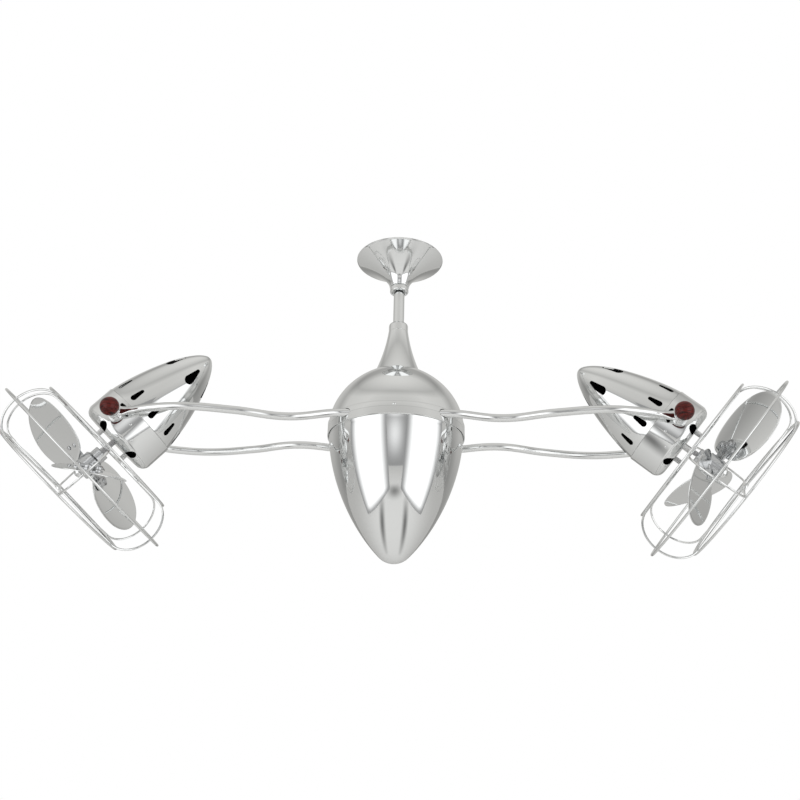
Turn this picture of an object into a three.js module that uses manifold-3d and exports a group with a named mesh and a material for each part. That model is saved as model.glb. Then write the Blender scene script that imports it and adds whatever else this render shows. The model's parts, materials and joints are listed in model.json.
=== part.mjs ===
// Twin head ceiling fan. Two guarded fan heads ride on two pairs of S-bent arms, which turn about a short
// down rod under a trumpet canopy. Millimetres, +Z up, and the origin is the middle of the ceiling face.
import * as THREE from 'three';
import { mergeVertices } from 'three/addons/utils/BufferGeometryUtils.js';
import Module from 'manifold-3d';

const wasm = await Module();
wasm.setup();

// ---- driving dimensions ----

// fits
const gap = 0.3;                    // between pieces that seat on each other or run past each other
const holeGap = 0.4;                // round a screw or a bolt in its clearance hole

// ceiling bracket: a strap across the outlet box, with a stirrup for the rod
const strapLength = 104;
const strapWidth = 30;
const strapThick = 3;
const boxScrewSpacing = 88.9;
const boxScrewSlotWidth = 5;
const boxScrewSlotLength = 12;
const stirrupWidth = 40;
const stirrupBreadth = 22;
const stirrupDrop = 28;
const stirrupPlate = 3;
const hangerPinRadius = 2.5;
const rodAbovePin = 9;

// canopy and its collar
const canopyRadius = 72.7;
const canopyHeight = 52;
const canopyNeckRadius = 16;
const canopyWall = 1.2;
const canopyFlare = 1.7;            // how quickly the trumpet opens
const ceilingGap = 0.6;
const canopyCollarRadius = 16.2;
const canopyCollarHeight = 17;
const canopyCollarRecess = 11;
const canopyCollarRecessRadius = 12.6;
const canopyCollarCorner = 2;

// down rod
const rodRadius = 9;
const rodWall = 2;

// turning body, with heights given from the plane of the arms
const armDrop = 313;                // ceiling to the plane of the arms
const shellWall = 1.5;
const bandRadius = 107;
const bandTop = 9;
const bandStep = 1.4;
const seamDrop = 12.6;              // the band's lower edge
const domeBase = 3;                 // the height that the dome's curve is widest at
const domeRise = 104.7;             // and the further height that it would close at
const domeRound = 1.95;
const domeFull = 1.72;
const neckBase = 98;
const neckTop = 175;
const neckTopRadius = 16;
const neckTaper = 0.134;
const neckFlare = 0.0019;
const neckCollarRadius = 15.6;
const neckCollarHeight = 15.5;
const neckCollarCorner = 5;
const neckCollarReach = 8;          // how far its spigot goes down into the neck
const eggLength = 204;              // from the seam to the tip
const eggAbove = 15.2;              // height of the egg's widest place above the seam
const eggRound = 1.854;
const eggFull = 1.263;
const spigotTop = 7;                // the lower shell's collar reaches up inside the band to here

// hub frame inside the body
const hubTubeRadius = 21;
const hubTubeHalf = 34;
const bearingRadius = 16;
const bearingWidth = 8;
const hubBore = 12;
const webThick = 3;
const webDrop = 12;
const hubRingWidth = 6;
const clampLength = 24;
const clampWidth = 18;
const clampTop = 9;
const washerRadius = 20;
const washerThick = 2;
const nutAcross = 30;
const nutHeight = 10;
const rodPastNut = 3;

// slip ring and brushes
const slipRingRadius = 15;
const slipRingBase = 46;
const slipRingHeight = 24;
const slipRingGroove = 1.5;
const slipRingCount = 2;
const brushPost = 4;
const brushReach = 27;
const brushWidth = 16;
const brushFoot = 14;
const brushFootThick = 3;
const brushFinger = 1.5;            // half the height of a brush
const brushFingerHalf = 2;

// arms: each is a bent tube that ends in a flattened eye on the head's pivot
const pivotReach = 423.7;           // the body's axis to a head's pivot
const armRadius = 6;
const armEntry = 77;                // half the width between a pair of arms where they enter the body
const armPinchReach = 163;
const armPinch = 60.5;
const armBulgeReach = 318;
const armBulge = 97.5;
const armInner = 40;
const armStraight = 84;             // each arm is straight out to here, past the band
const armStraightBack = 18;         // and from this far before it
const armHoleStart = 55;            // the shells' holes for the arms are cut from here
const armHoleEnd = 95;              // to here
const armSwell = 5;                 // how far out the middle of the wave lies beyond a straight line
const armCloseReach = 53;           // before the pivot, where the arm begins to close on the eye
const armCloseOut = 12;             // and how far outside the eye it is there
const armSettleReach = 33;
const armSettleOut = 4;
const armLevelReach = 16;
const eyeRadius = 11.5;
const eyeThick = 7.2;
const flattenLength = 18;
const flattenHeight = 1.25;         // how much taller the tube gets as it is pressed flat

// pivots and knobs
const bossRadius = 11;
const bossHeight = 7.5;
const boltRadius = 4;
const boltLength = 14;
const ferruleRadius = 10;
const ferruleHeight = 2.8;
const ballRadius = 14.25;
const ballFlatRadius = 9;

// heads, measured along the fan's axis from the pivot: forward is towards the blades
const leftTilt = 47.2;              // degrees below level, as photographed
const rightTilt = 39.5;
const casingRadius = 65;
const casingWall = 1.8;
const casingBack = 24;
const casingFront = 29;
const casingCorner = 14;
const housingRadius = 63.8;
const housingLength = 148.7;
const housingRound = 1.27;
const housingFull = 1.69;
const housingWall = 1.5;
const frontSlotCount = 10;
const frontSlotStart = 33;
const frontSlotLength = 21;
const frontSlotWidth = 7;
const frontSlotNarrow = 4.6;
const tailSlotCount = 5;
const tailSlotStart = 112;
const tailSlotLength = 31;
const tailSlotWidth = 14;
const tailSlotNarrow = 5;
const slotPhase = -56;              // degrees round the head, where one slot of each row lies
const dropCount = 4;
const dropPhase = -96;
const dropRadius = 6.5;
const dropTail = 15;
const sideSlotPlace = 15;
const sideSlotHalf = 12;
const sideSlotRadius = 3;
const slotCutStart = 12;            // the cutters begin inside the walls
const dropCutDepth = 20;
const dropCutInside = 8;
const sideCutStart = 55;
const sideCutEnd = 75;

// motor inside the head
const shaftRadius = 4;
const motorBearingRadius = 11;
const motorBearingWidth = 7;
const bearingBossRadius = 14;
const bearingSetBack = 4;           // the front bearing sits this far behind the casing's front
const shaftHoleRadius = 6;
const endPlateThick = 3;
const endPlateHole = 9;
const endPlateHoles = 3;
const endPlateHolePlace = 38;
const statorFront = 8;
const statorBack = 12;
const statorBore = 35;
const windingRadius = 56;
const windingBore = 38;
const windingProud = 6;
const airGap = 0.5;

// guard
const wireRadius = 1.6;
const hoopRadius = 1.9;
const guardWires = 6;
const guardRear = 41.7;             // plane of the rear hoop
const guardFront = 137.5;
const sideHoopRadius = 125.2;
const middleHoopRadius = 165;
const brazeDepth = 1.4;             // how far a hoop is sunk into the wires it is brazed to
const guardSeatRadius = 30;
const guardSeatWidth = 12;
const guardPostRadius = 4;
const guardSplitGap = 1.5;          // the rear wires end this far past the middle hoop
const guardPostCount = 3;
const centreRadius = 9;
const centreThick = 5;

// blades
const bladeCount = 3;
const rotorPlace = 83;              // the blades' middle plane
const bladePitch = 34.5;            // degrees
const bladeWidth = 108;
const bladeRoot = 19;
const bladeTip = 142;
const bladeThick = 1.5;
const bladeCamber = 5;
const bladeFullness = 0.46;         // below a half, the outline is fuller than an ellipse
const leftPhase = 116.6;
const rightPhase = 82.3;
const hubRadius = 16;
const hubBack = 52;
const hubFront = 97;
const hubStep = 4;                  // the drum is slimmer behind the irons
const hubStepPlace = 18;
const hubCorner = 3;
const ironThick = 3;
const ironStart = 8;
const ironReach = 50;
const ironLobe = 8;
const ironSpread = 15;
const capRadius = 9;
const capHeight = 8;

// facets: a piece inside another has the same count or half of it, so that its corners clear the flats
const bodyFacets = 20;
const headFacets = 20;
const motorFacets = 10;
const housingFacets = 20;
const rodFacets = 16;
const armFacets = 6;
const armBoreFacets = 12;
const knobFacets = 10;
const smallFacets = 10;
const wireSides = 5;
const guardBends = 4;
const sideHoopFacets = 24;
const middleHoopFacets = 24;

// ---- materials ----

const coat = (color, roughness, metalness) => {
  return new THREE.MeshStandardMaterial({ color, roughness, metalness });
};
const metal = (color, roughness) => coat(color, roughness, 1);
const chrome = metal(0xc6c9cb, 0.08);
const steel = metal(0x9a9da0, 0.35);
const brass = metal(0xb08d4a, 0.3);
const copper = metal(0x9c5a34, 0.4);
const wood = coat(0x4a130e, 0.25, 0);
const plastic = coat(0x2a2b2e, 0.6, 0);

// ---- shaping ----

const at = (r, z) => new THREE.Vector2(r, z);
const point = (x, y, z) => new THREE.Vector3(x, y, z);
const radians = THREE.MathUtils.degToRad;

// A closed surface with shared corners, no faces without area, and its faces pointing out.
function tidy(geometry) {
  const plain = geometry.clone();
  plain.deleteAttribute('normal');
  plain.deleteAttribute('uv');
  const merged = mergeVertices(plain, 1e-4);
  const corners = merged.index.array;
  const place = merged.attributes.position;
  const faces = [];
  let volume = 0;
  for (let i = 0; i < corners.length; i += 3) {
    const [a, b, c] = corners.slice(i, i + 3);
    if (a !== b && b !== c && c !== a) {
      const [p, q, r] = [a, b, c].map((corner) => new THREE.Vector3().fromBufferAttribute(place, corner));
      faces.push([a, b, c]);
      volume += p.dot(q.cross(r));
    }
  }
  const outward = faces.map(([a, b, c]) => (volume < 0 ? [a, c, b] : [a, b, c]));
  merged.setIndex(outward.flat());
  return merged;
}

function toSolid(geometry) {
  const surface = tidy(geometry);
  const vertProperties = new Float32Array(surface.attributes.position.array);
  const triVerts = new Uint32Array(surface.index.array);
  return new wasm.Manifold(new wasm.Mesh({ numProp: 3, vertProperties, triVerts }));
}

function toGeometry(solid) {
  const result = solid.getMesh();
  const geometry = new THREE.BufferGeometry();
  geometry.setAttribute('position', new THREE.BufferAttribute(result.vertProperties, 3));
  geometry.setIndex(new THREE.BufferAttribute(result.triVerts, 1));
  return geometry;
}

const join = (...pieces) => toGeometry(pieces.map(toSolid).reduce((all, piece) => all.add(piece)));
const cut = (piece, ...tools) => {
  const left = tools.map(toSolid).reduce((rest, tool) => rest.subtract(tool), toSolid(piece));
  return toGeometry(left);
};
const common = (a, b) => toGeometry(toSolid(a).intersect(toSolid(b)));

// A solid of revolution about Z from a line of (radius, height) points.
function revolve(line, segments) {
  const geometry = new THREE.LatheGeometry(line, segments);
  geometry.rotateX(Math.PI / 2);
  return tidy(geometry);
}

// A ring with a rectangular section.
function sleeve(inner, outer, bottom, top, segments) {
  const line = [at(inner, bottom), at(outer, bottom), at(outer, top), at(inner, top), at(inner, bottom)];
  return revolve(line, segments);
}

// A round bar between two points.
function bar(from, to, radius, sides = smallFacets) {
  const length = from.distanceTo(to);
  const geometry = new THREE.CylinderGeometry(radius, radius, length, sides);
  const direction = to.clone().sub(from).normalize();
  geometry.applyQuaternion(new THREE.Quaternion().setFromUnitVectors(point(0, 1, 0), direction));
  const middle = from.clone().add(to).multiplyScalar(0.5);
  return geometry.translate(middle.x, middle.y, middle.z);
}

// A box given by its low and high corners.
function block(low, high) {
  const size = high.clone().sub(low);
  const middle = low.clone().add(high).multiplyScalar(0.5);
  return new THREE.BoxGeometry(size.x, size.y, size.z).translate(middle.x, middle.y, middle.z);
}

function hoop(radius, height, facets) {
  return new THREE.TorusGeometry(radius, hoopRadius, wireSides, facets).translate(0, 0, height);
}

function plate(outline, thickness) {
  return new THREE.ExtrudeGeometry(outline, { depth: thickness, bevelEnabled: false });
}

// A round section swept along a path.
function tube(path, radius, steps, sides) {
  const turn = (k) => (2 * Math.PI * (k + 0.5)) / sides;
  const corner = (k) => at(radius * Math.cos(turn(k)), radius * Math.sin(turn(k)));
  const section = new THREE.Shape(Array.from({ length: sides }, (_, k) => corner(k)));
  return new THREE.ExtrudeGeometry(section, { steps, extrudePath: path, bevelEnabled: false });
}

// The inner line of a sheet wall: each point of the outer line, drawn upwards, moves in square to it.
function inward(line, wall) {
  return line.map((place, i) => {
    const before = line[Math.max(i - 1, 0)];
    const after = line[Math.min(i + 1, line.length - 1)];
    const along = after.clone().sub(before).normalize();
    return at(Math.max(place.x - wall * along.y, 0), place.y + wall * along.x);
  });
}

// An arc of a profile, with angles in degrees.
function arc(r, z, radius, start, end, steps) {
  const turn = (k) => radians(start + ((end - start) * k) / steps);
  const spot = (k) => at(r + radius * Math.cos(turn(k)), z + radius * Math.sin(turn(k)));
  return Array.from({ length: steps + 1 }, (_, k) => spot(k));
}

function piece(name, geometry, material, group) {
  const mesh = new THREE.Mesh(tidy(geometry), material);
  mesh.name = name;
  group.add(mesh);
  return mesh;
}

// ---- ceiling mount: bracket, pin, rod, canopy and its collar ----

const stirrupFloor = -strapThick - stirrupDrop;                 // top face of the stirrup's bridge
const pinHeight = stirrupFloor + gap + hangerPinRadius;
const rodTop = pinHeight + hangerPinRadius + rodAbovePin;
const canopyBottom = -ceilingGap - canopyHeight;
const collarTop = canopyBottom - gap;

function ceilingBracket() {
  const outside = stirrupWidth / 2;
  const inside = outside - stirrupPlate;
  const breadth = stirrupBreadth / 2;
  const strapEnd = point(strapLength / 2, strapWidth / 2, 0);
  const strap = block(point(-strapEnd.x, -strapEnd.y, -strapThick), strapEnd);
  const bridgeBottom = stirrupFloor - stirrupPlate;
  const stirrup = block(point(-outside, -breadth, bridgeBottom), point(outside, breadth, -strapThick / 2));
  const openingLow = point(-inside, -breadth - 1, stirrupFloor);
  const opening = block(openingLow, point(inside, breadth + 1, -strapThick));
  const holeRadius = rodRadius + holeGap;
  const rodHole = bar(point(0, 0, bridgeBottom - 1), point(0, 0, stirrupFloor + 1), holeRadius, rodFacets);
  const slots = [-1, 1].flatMap((side) => {
    const outer = (side * boxScrewSpacing) / 2;
    const inner = outer - side * (boxScrewSlotLength - boxScrewSlotWidth);
    const low = point(Math.min(inner, outer), -boxScrewSlotWidth / 2, -strapThick - 1);
    const high = point(Math.max(inner, outer), boxScrewSlotWidth / 2, 1);
    const end = (x) => bar(point(x, 0, low.z), point(x, 0, high.z), boxScrewSlotWidth / 2);
    return [block(low, high), end(inner), end(outer)];
  });
  return cut(join(strap, cut(stirrup, opening)), rodHole, ...slots);
}

function hangerPin() {
  const half = stirrupWidth / 2 - stirrupPlate - gap;
  return bar(point(-half, 0, pinHeight), point(half, 0, pinHeight), hangerPinRadius);
}

function downRod() {
  const rod = sleeve(rodRadius - rodWall, rodRadius, rodBottom, rodTop, rodFacets);
  const reach = rodRadius + 1;
  const pinHole = bar(point(-reach, 0, pinHeight), point(reach, 0, pinHeight), hangerPinRadius + gap);
  return cut(rod, pinHole);
}

function canopy() {
  const steps = 4;
  const flare = Array.from({ length: steps + 1 }, (_, k) => {
    const rise = (k / steps) ** 0.8;
    const radius = canopyNeckRadius + (canopyRadius - canopyNeckRadius) * rise ** canopyFlare;
    return at(radius, canopyBottom + canopyHeight * rise);
  });
  const inside = inward(flare, canopyWall);
  const lip = rodRadius + holeGap;
  const floor = canopyBottom + canopyWall;
  inside[0] = at(canopyNeckRadius - canopyWall, floor);
  inside[steps] = at(canopyRadius - canopyWall, -ceilingGap);
  const start = at(lip, canopyBottom);
  return revolve([start, ...flare, ...inside.reverse(), at(lip, floor), start], bodyFacets);
}

function canopyCollar() {
  const bottom = collarTop - canopyCollarHeight;
  const bore = rodRadius + gap;
  const recess = bottom + canopyCollarRecess;
  const cornerR = canopyCollarRadius - canopyCollarCorner;
  const line = [
    at(bore, collarTop),
    at(bore, recess),
    at(canopyCollarRecessRadius, recess),
    at(canopyCollarRecessRadius, bottom),
    ...arc(cornerR, bottom + canopyCollarCorner, canopyCollarCorner, -90, 0, 1),
    ...arc(cornerR, collarTop - canopyCollarCorner, canopyCollarCorner, 0, 90, 1),
    at(bore, collarTop),
  ];
  return revolve(line, rodFacets);
}

// ---- turning body ----

// turns a height above the arms' plane into one below the ceiling
const body = (height) => height - armDrop;
const bandInner = bandRadius - shellWall;
const spigotRadius = bandInner - gap;
const hubRingRadius = (spigotRadius - 2 * shellWall) * Math.cos(Math.PI / bodyFacets) - gap;
const bearingBottom = -hubTubeHalf;
const washerTop = bearingBottom - gap;
const nutTop = washerTop - washerThick - gap;
const rodBottom = body(nutTop - nutHeight - rodPastNut);

const neckRadiusAt = (height) => {
  const below = neckTop - height;
  return neckTopRadius + neckTaper * below + neckFlare * below ** 2;
};
const domeRadiusAt = (height) => {
  const rise = (height - domeBase) / domeRise;
  return (bandRadius - 1) * (1 - rise ** domeRound) ** (1 / domeFull);
};

function armBore(side, depth, radius, from, to) {
  const y = depth * armEntry;
  return bar(point(side * from, y, body(0)), point(side * to, y, body(0)), radius, armBoreFacets);
}

const armCorners = [-1, 1].flatMap((side) => [-1, 1].map((depth) => [side, depth]));

function upperShell() {
  const domeSteps = 4;
  const neckSteps = 3;
  const outer = [at(bandRadius, body(-seamDrop)), at(bandRadius, body(bandTop - 1))];
  for (let k = 0; k <= domeSteps; k += 1) {
    const height = bandTop + (neckBase - bandTop) * Math.sin((Math.PI / 2) * (k / domeSteps));
    outer.push(at(domeRadiusAt(height), body(height)));
  }
  for (let k = 1; k <= neckSteps; k += 1) {
    const height = neckBase + ((neckTop - neckBase) * k) / neckSteps;
    outer.push(at(neckRadiusAt(height), body(height)));
  }
  const inner = inward(outer, shellWall);
  inner[0] = at(bandInner, body(-seamDrop));
  inner[1] = at(bandInner, body(bandTop - 1));
  inner[2] = at(bandInner - bandStep, body(bandTop));
  inner[inner.length - 1] = at(neckTopRadius - shellWall, body(neckTop));
  const shell = revolve([...outer, ...inner.reverse(), outer[0]], bodyFacets);
  const radius = armRadius + 2 * holeGap;
  const armHoles = armCorners.map(([side, depth]) => {
    return armBore(side, depth, radius, armHoleStart, armHoleEnd);
  });
  return cut(shell, ...armHoles);
}

function neckCollar() {
  const bottom = body(neckTop) + gap;
  const top = bottom + neckCollarHeight;
  const bore = rodRadius + gap;
  const spigot = neckTopRadius - shellWall - gap;
  const line = [
    at(bore, bottom - neckCollarReach),
    at(spigot, bottom - neckCollarReach),
    at(spigot, bottom),
    at(neckCollarRadius, bottom),
    ...arc(neckCollarRadius - neckCollarCorner, top - neckCollarCorner, neckCollarCorner, 0, 90, 3),
    at(bore, top),
    at(bore, bottom - neckCollarReach),
  ];
  return revolve(line, rodFacets);
}

function lowerShell() {
  const steps = 7;
  const outer = [];
  for (let k = 0; k <= steps; k += 1) {
    const down = eggLength * Math.sin((Math.PI / 2) * (1 - k / steps));
    const fall = (down + eggAbove) / (eggLength + eggAbove);
    const radius = spigotRadius * (1 - fall ** eggRound) ** (1 / eggFull);
    outer.push(at(radius, body(-seamDrop - down)));
  }
  outer.push(at(spigotRadius, body(spigotTop)));
  const inner = inward(outer, shellWall);
  inner[0] = at(0, outer[0].y + 2 * shellWall);
  inner[outer.length - 1] = at(spigotRadius - shellWall, body(spigotTop));
  const shell = revolve([...outer, ...inner.reverse()], bodyFacets);
  const notches = armCorners.flatMap(([side, depth]) => {
    const radius = armRadius + 2 * holeGap;
    const [near, far] = [side * armHoleStart, side * armHoleEnd];
    const low = point(Math.min(near, far), depth * armEntry - radius, body(0));
    const high = point(Math.max(near, far), depth * armEntry + radius, body(spigotTop + 1));
    return [armBore(side, depth, radius, armHoleStart, armHoleEnd), block(low, high)];
  });
  return cut(shell, ...notches);
}

function hubFrame() {
  const seat = bearingRadius + gap;
  const ledge = hubTubeHalf - bearingWidth - gap;
  const webLow = body(-webDrop);
  const webHigh = body(-webDrop + webThick);
  const ringInner = hubRingRadius - hubRingWidth;
  const line = [
    at(seat, body(-hubTubeHalf)),
    at(hubTubeRadius, body(-hubTubeHalf)),
    at(hubTubeRadius, webLow),
    at(hubRingRadius, webLow),
    at(hubRingRadius, body(clampTop - 1)),
    at(ringInner, body(clampTop - 1)),
    at(ringInner, webHigh),
    at(hubTubeRadius, webHigh),
    at(hubTubeRadius, body(hubTubeHalf)),
    at(seat, body(hubTubeHalf)),
    at(seat, body(ledge)),
    at(hubBore, body(ledge)),
    at(hubBore, body(-ledge)),
    at(seat, body(-ledge)),
    at(seat, body(-hubTubeHalf)),
  ];
  const frame = revolve(line, rodFacets);
  const trim = bar(point(0, 0, webLow), point(0, 0, body(clampTop)), hubRingRadius - 1, rodFacets);
  const clamps = armCorners.map(([side, depth]) => {
    const near = side * (armInner + 2);
    const far = side * (armInner + 2 + clampLength);
    const middle = depth * armEntry;
    const low = point(Math.min(near, far), middle - clampWidth / 2, webLow + 1);
    const high = point(Math.max(near, far), middle + clampWidth / 2, body(clampTop));
    return common(block(low, high), trim);
  });
  const bores = armCorners.map(([side, depth]) => {
    return armBore(side, depth, armRadius + gap, armInner, armHoleEnd);
  });
  return cut(join(frame, ...clamps), ...bores);
}

function rodBearing(bottom) {
  return sleeve(rodRadius + gap, bearingRadius, body(bottom), body(bottom + bearingWidth), rodFacets);
}

function thrustWasher() {
  return sleeve(rodRadius + gap, washerRadius, body(washerTop - washerThick), body(washerTop), rodFacets);
}

function rodNut() {
  const radius = nutAcross / 2 / Math.cos(Math.PI / 6);
  const corner = (k) => at(radius * Math.cos((Math.PI / 3) * k), radius * Math.sin((Math.PI / 3) * k));
  const outline = new THREE.Shape(Array.from({ length: 6 }, (_, k) => corner(k)));
  outline.holes.push(new THREE.Path(arc(0, 0, rodRadius + gap, 360, 0, rodFacets).slice(1)));
  return plate(outline, nutHeight).translate(0, 0, body(nutTop - nutHeight));
}

function slipRing() {
  const bore = rodRadius + gap;
  const pitch = slipRingHeight / slipRingCount;
  const line = [at(bore, body(slipRingBase)), at(slipRingRadius, body(slipRingBase))];
  for (let k = 0; k < slipRingCount; k += 1) {
    const bottom = slipRingBase + k * pitch;
    line.push(at(slipRingRadius, body(bottom + pitch * 0.25)));
    line.push(at(slipRingRadius - slipRingGroove, body(bottom + pitch * 0.25)));
    line.push(at(slipRingRadius - slipRingGroove, body(bottom + pitch * 0.75)));
    line.push(at(slipRingRadius, body(bottom + pitch * 0.75)));
  }
  line.push(at(slipRingRadius, body(slipRingBase + slipRingHeight)));
  line.push(at(bore, body(slipRingBase + slipRingHeight)));
  line.push(at(bore, body(slipRingBase)));
  return revolve(line, rodFacets);
}

function brushBlock() {
  const half = brushWidth / 2;
  const foot = -webDrop + webThick + gap;
  const top = slipRingBase + slipRingHeight;
  const pitch = slipRingHeight / slipRingCount;
  const uprightLow = point(brushReach, -half, body(foot));
  const upright = block(uprightLow, point(brushReach + brushPost, half, body(top)));
  const footTop = body(foot + brushFootThick);
  const base = block(point(brushReach, -half, body(foot)), point(brushReach + brushFoot, half, footTop));
  const fingers = Array.from({ length: slipRingCount }, (_, k) => {
    const middle = slipRingBase + (k + 0.5) * pitch;
    const tip = slipRingRadius - slipRingGroove + gap;
    const low = point(tip, -brushFingerHalf, body(middle - brushFinger));
    return block(low, point(brushReach + 1, brushFingerHalf, body(middle + brushFinger)));
  });
  return join(upright, base, ...fingers);
}

// ---- arms ----

const bossFace = casingRadius + bossHeight;
const eyeInner = bossFace + gap;
const eyeMiddle = eyeInner + eyeThick / 2;
const eyeOuter = eyeInner + eyeThick;

function armPath(side, depth) {
  const stations = [
    [armInner, armEntry],
    [armStraight - armStraightBack, armEntry],
    [armStraight, armEntry],
    [armPinchReach, armPinch],
    [(armPinchReach + armBulgeReach) / 2, (armPinch + armBulge) / 2 + armSwell],
    [armBulgeReach, armBulge],
    [pivotReach - armCloseReach, eyeMiddle + armCloseOut],
    [pivotReach - armSettleReach, eyeMiddle + armSettleOut],
    [pivotReach - armLevelReach, eyeMiddle],
    [pivotReach - eyeRadius / 2, eyeMiddle],
  ];
  const path = new THREE.CatmullRomCurve3(stations.map(([x, y]) => point(side * x, depth * y, body(0))));
  // rings fall on the stations and midway between them
  path.getUtoTmapping = (u) => u;
  return path;
}

// The tube is pressed flat towards its end, to the thickness of the eye.
function pressFlat(geometry, path) {
  const line = path.getPoints(120);
  const place = geometry.attributes.position;
  for (let i = 0; i < place.count; i += 1) {
    const x = place.getX(i);
    const from = pivotReach - eyeRadius - flattenLength;
    const amount = THREE.MathUtils.smoothstep(Math.abs(x), from, pivotReach - eyeRadius);
    const nearest = line.reduce((best, p) => (Math.abs(p.x - x) < Math.abs(best.x - x) ? p : best));
    const thin = THREE.MathUtils.lerp(1, (eyeThick - 0.4) / (2 * armRadius), amount);
    place.setY(i, nearest.y + (place.getY(i) - nearest.y) * thin);
    place.setZ(i, body(0) + (place.getZ(i) - body(0)) * THREE.MathUtils.lerp(1, flattenHeight, amount));
  }
  return geometry;
}

function arm(side, depth) {
  const path = armPath(side, depth);
  const shaft = pressFlat(tube(path, armRadius, 2 * (path.points.length - 1), armFacets), path);
  const x = side * pivotReach;
  const across = (radius, from, to, sides) => {
    return bar(point(x, depth * from, body(0)), point(x, depth * to, body(0)), radius, sides);
  };
  const eye = across(eyeRadius, eyeInner, eyeOuter, knobFacets);
  return cut(join(shaft, eye), across(boltRadius + holeGap, eyeInner - 1, eyeOuter + 1, smallFacets));
}

// ---- heads: Z is the fan's axis and Y the pivots' axis ----

const seam = -casingBack;
const housingBase = seam - gap;
const housingTip = housingBase - housingLength;
const hoopSet = wireRadius + hoopRadius - brazeDepth;           // a hoop's middle to that of a wire
const wireOut = middleHoopRadius - hoopSet;
const wireMiddle = (guardRear + guardFront) / 2;
const wireDepth = (guardFront - guardRear) / 2 - hoopSet;
const guardWireRear = wireMiddle - wireDepth;
const guardWireFront = wireMiddle + wireDepth;
const guardSplit = wireMiddle + hoopRadius + guardSplitGap;
const seatBack = guardWireRear - wireRadius;
const seatFront = guardWireRear + wireRadius;
const frontBearingBack = casingFront - bearingSetBack - motorBearingWidth;
const rearBearingBack = seam + endPlateThick;

// Degrees round a head, from its lower side towards the far pivot; the two heads mirror each other.
const around = (side, degrees) => radians(side > 0 ? degrees : 180 - degrees);

// A slot cutter that lies along Z, wide at its upper end, and points out at the given angle.
function slotCutter(start, length, width, narrow, angle) {
  const upper = -start - width / 2;
  const lower = -start - length + narrow / 2;
  const line = [...arc(0, upper, width / 2, 0, 180, 3), ...arc(0, lower, narrow / 2, 180, 360, 1)];
  const cutter = plate(new THREE.Shape(line), casingRadius);
  // the outline's X becomes the tangent and its depth the way out
  cutter.applyMatrix4(new THREE.Matrix4().makeBasis(point(0, 1, 0), point(0, 0, 1), point(1, 0, 0)));
  return cutter.translate(slotCutStart, 0, 0).rotateZ(angle);
}

function rearHousing(side) {
  const steps = 5;
  const outer = [];
  for (let k = 0; k <= steps; k += 1) {
    const back = Math.sin((Math.PI / 2) * (1 - k / steps));
    const radius = housingRadius * (1 - back ** housingRound) ** (1 / housingFull);
    outer.push(at(radius, housingBase - housingLength * back));
  }
  const inner = inward(outer, housingWall);
  inner[0] = at(0, housingTip + 1.6 * housingWall);
  inner[steps] = at(housingRadius - housingWall, housingBase);
  // the slots fall on the middles of facets
  const shell = revolve([...outer, ...inner.reverse()], housingFacets);
  shell.rotateZ(around(side, slotPhase) + Math.PI / housingFacets);
  const row = (count, ...sizes) => Array.from({ length: count }, (_, k) => {
    return slotCutter(...sizes, around(side, slotPhase + (360 * k) / count));
  });
  const frontRow = row(frontSlotCount, frontSlotStart, frontSlotLength, frontSlotWidth, frontSlotNarrow);
  const tailRow = row(tailSlotCount, tailSlotStart, tailSlotLength, tailSlotWidth, tailSlotNarrow);
  return cut(shell, ...frontRow, ...tailRow);
}

// A drop-shaped vent across the casing's rounded corner, with its tail towards the middle of the front.
function dropCutter(angle) {
  const line = [...arc(0, 0, dropRadius, -20, 200, 5), at(0, -dropTail)];
  const cutter = plate(new THREE.Shape(line), dropCutDepth).translate(0, 0, -dropCutInside);
  const out = point(Math.SQRT1_2, 0, Math.SQRT1_2);
  const up = point(Math.SQRT1_2, 0, -Math.SQRT1_2);
  cutter.applyMatrix4(new THREE.Matrix4().makeBasis(up.clone().cross(out), up, out));
  const reach = casingCorner * Math.SQRT1_2;
  cutter.translate(casingRadius - casingCorner + reach, 0, casingFront - casingCorner + reach);
  return cutter.rotateZ(angle);
}

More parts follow.
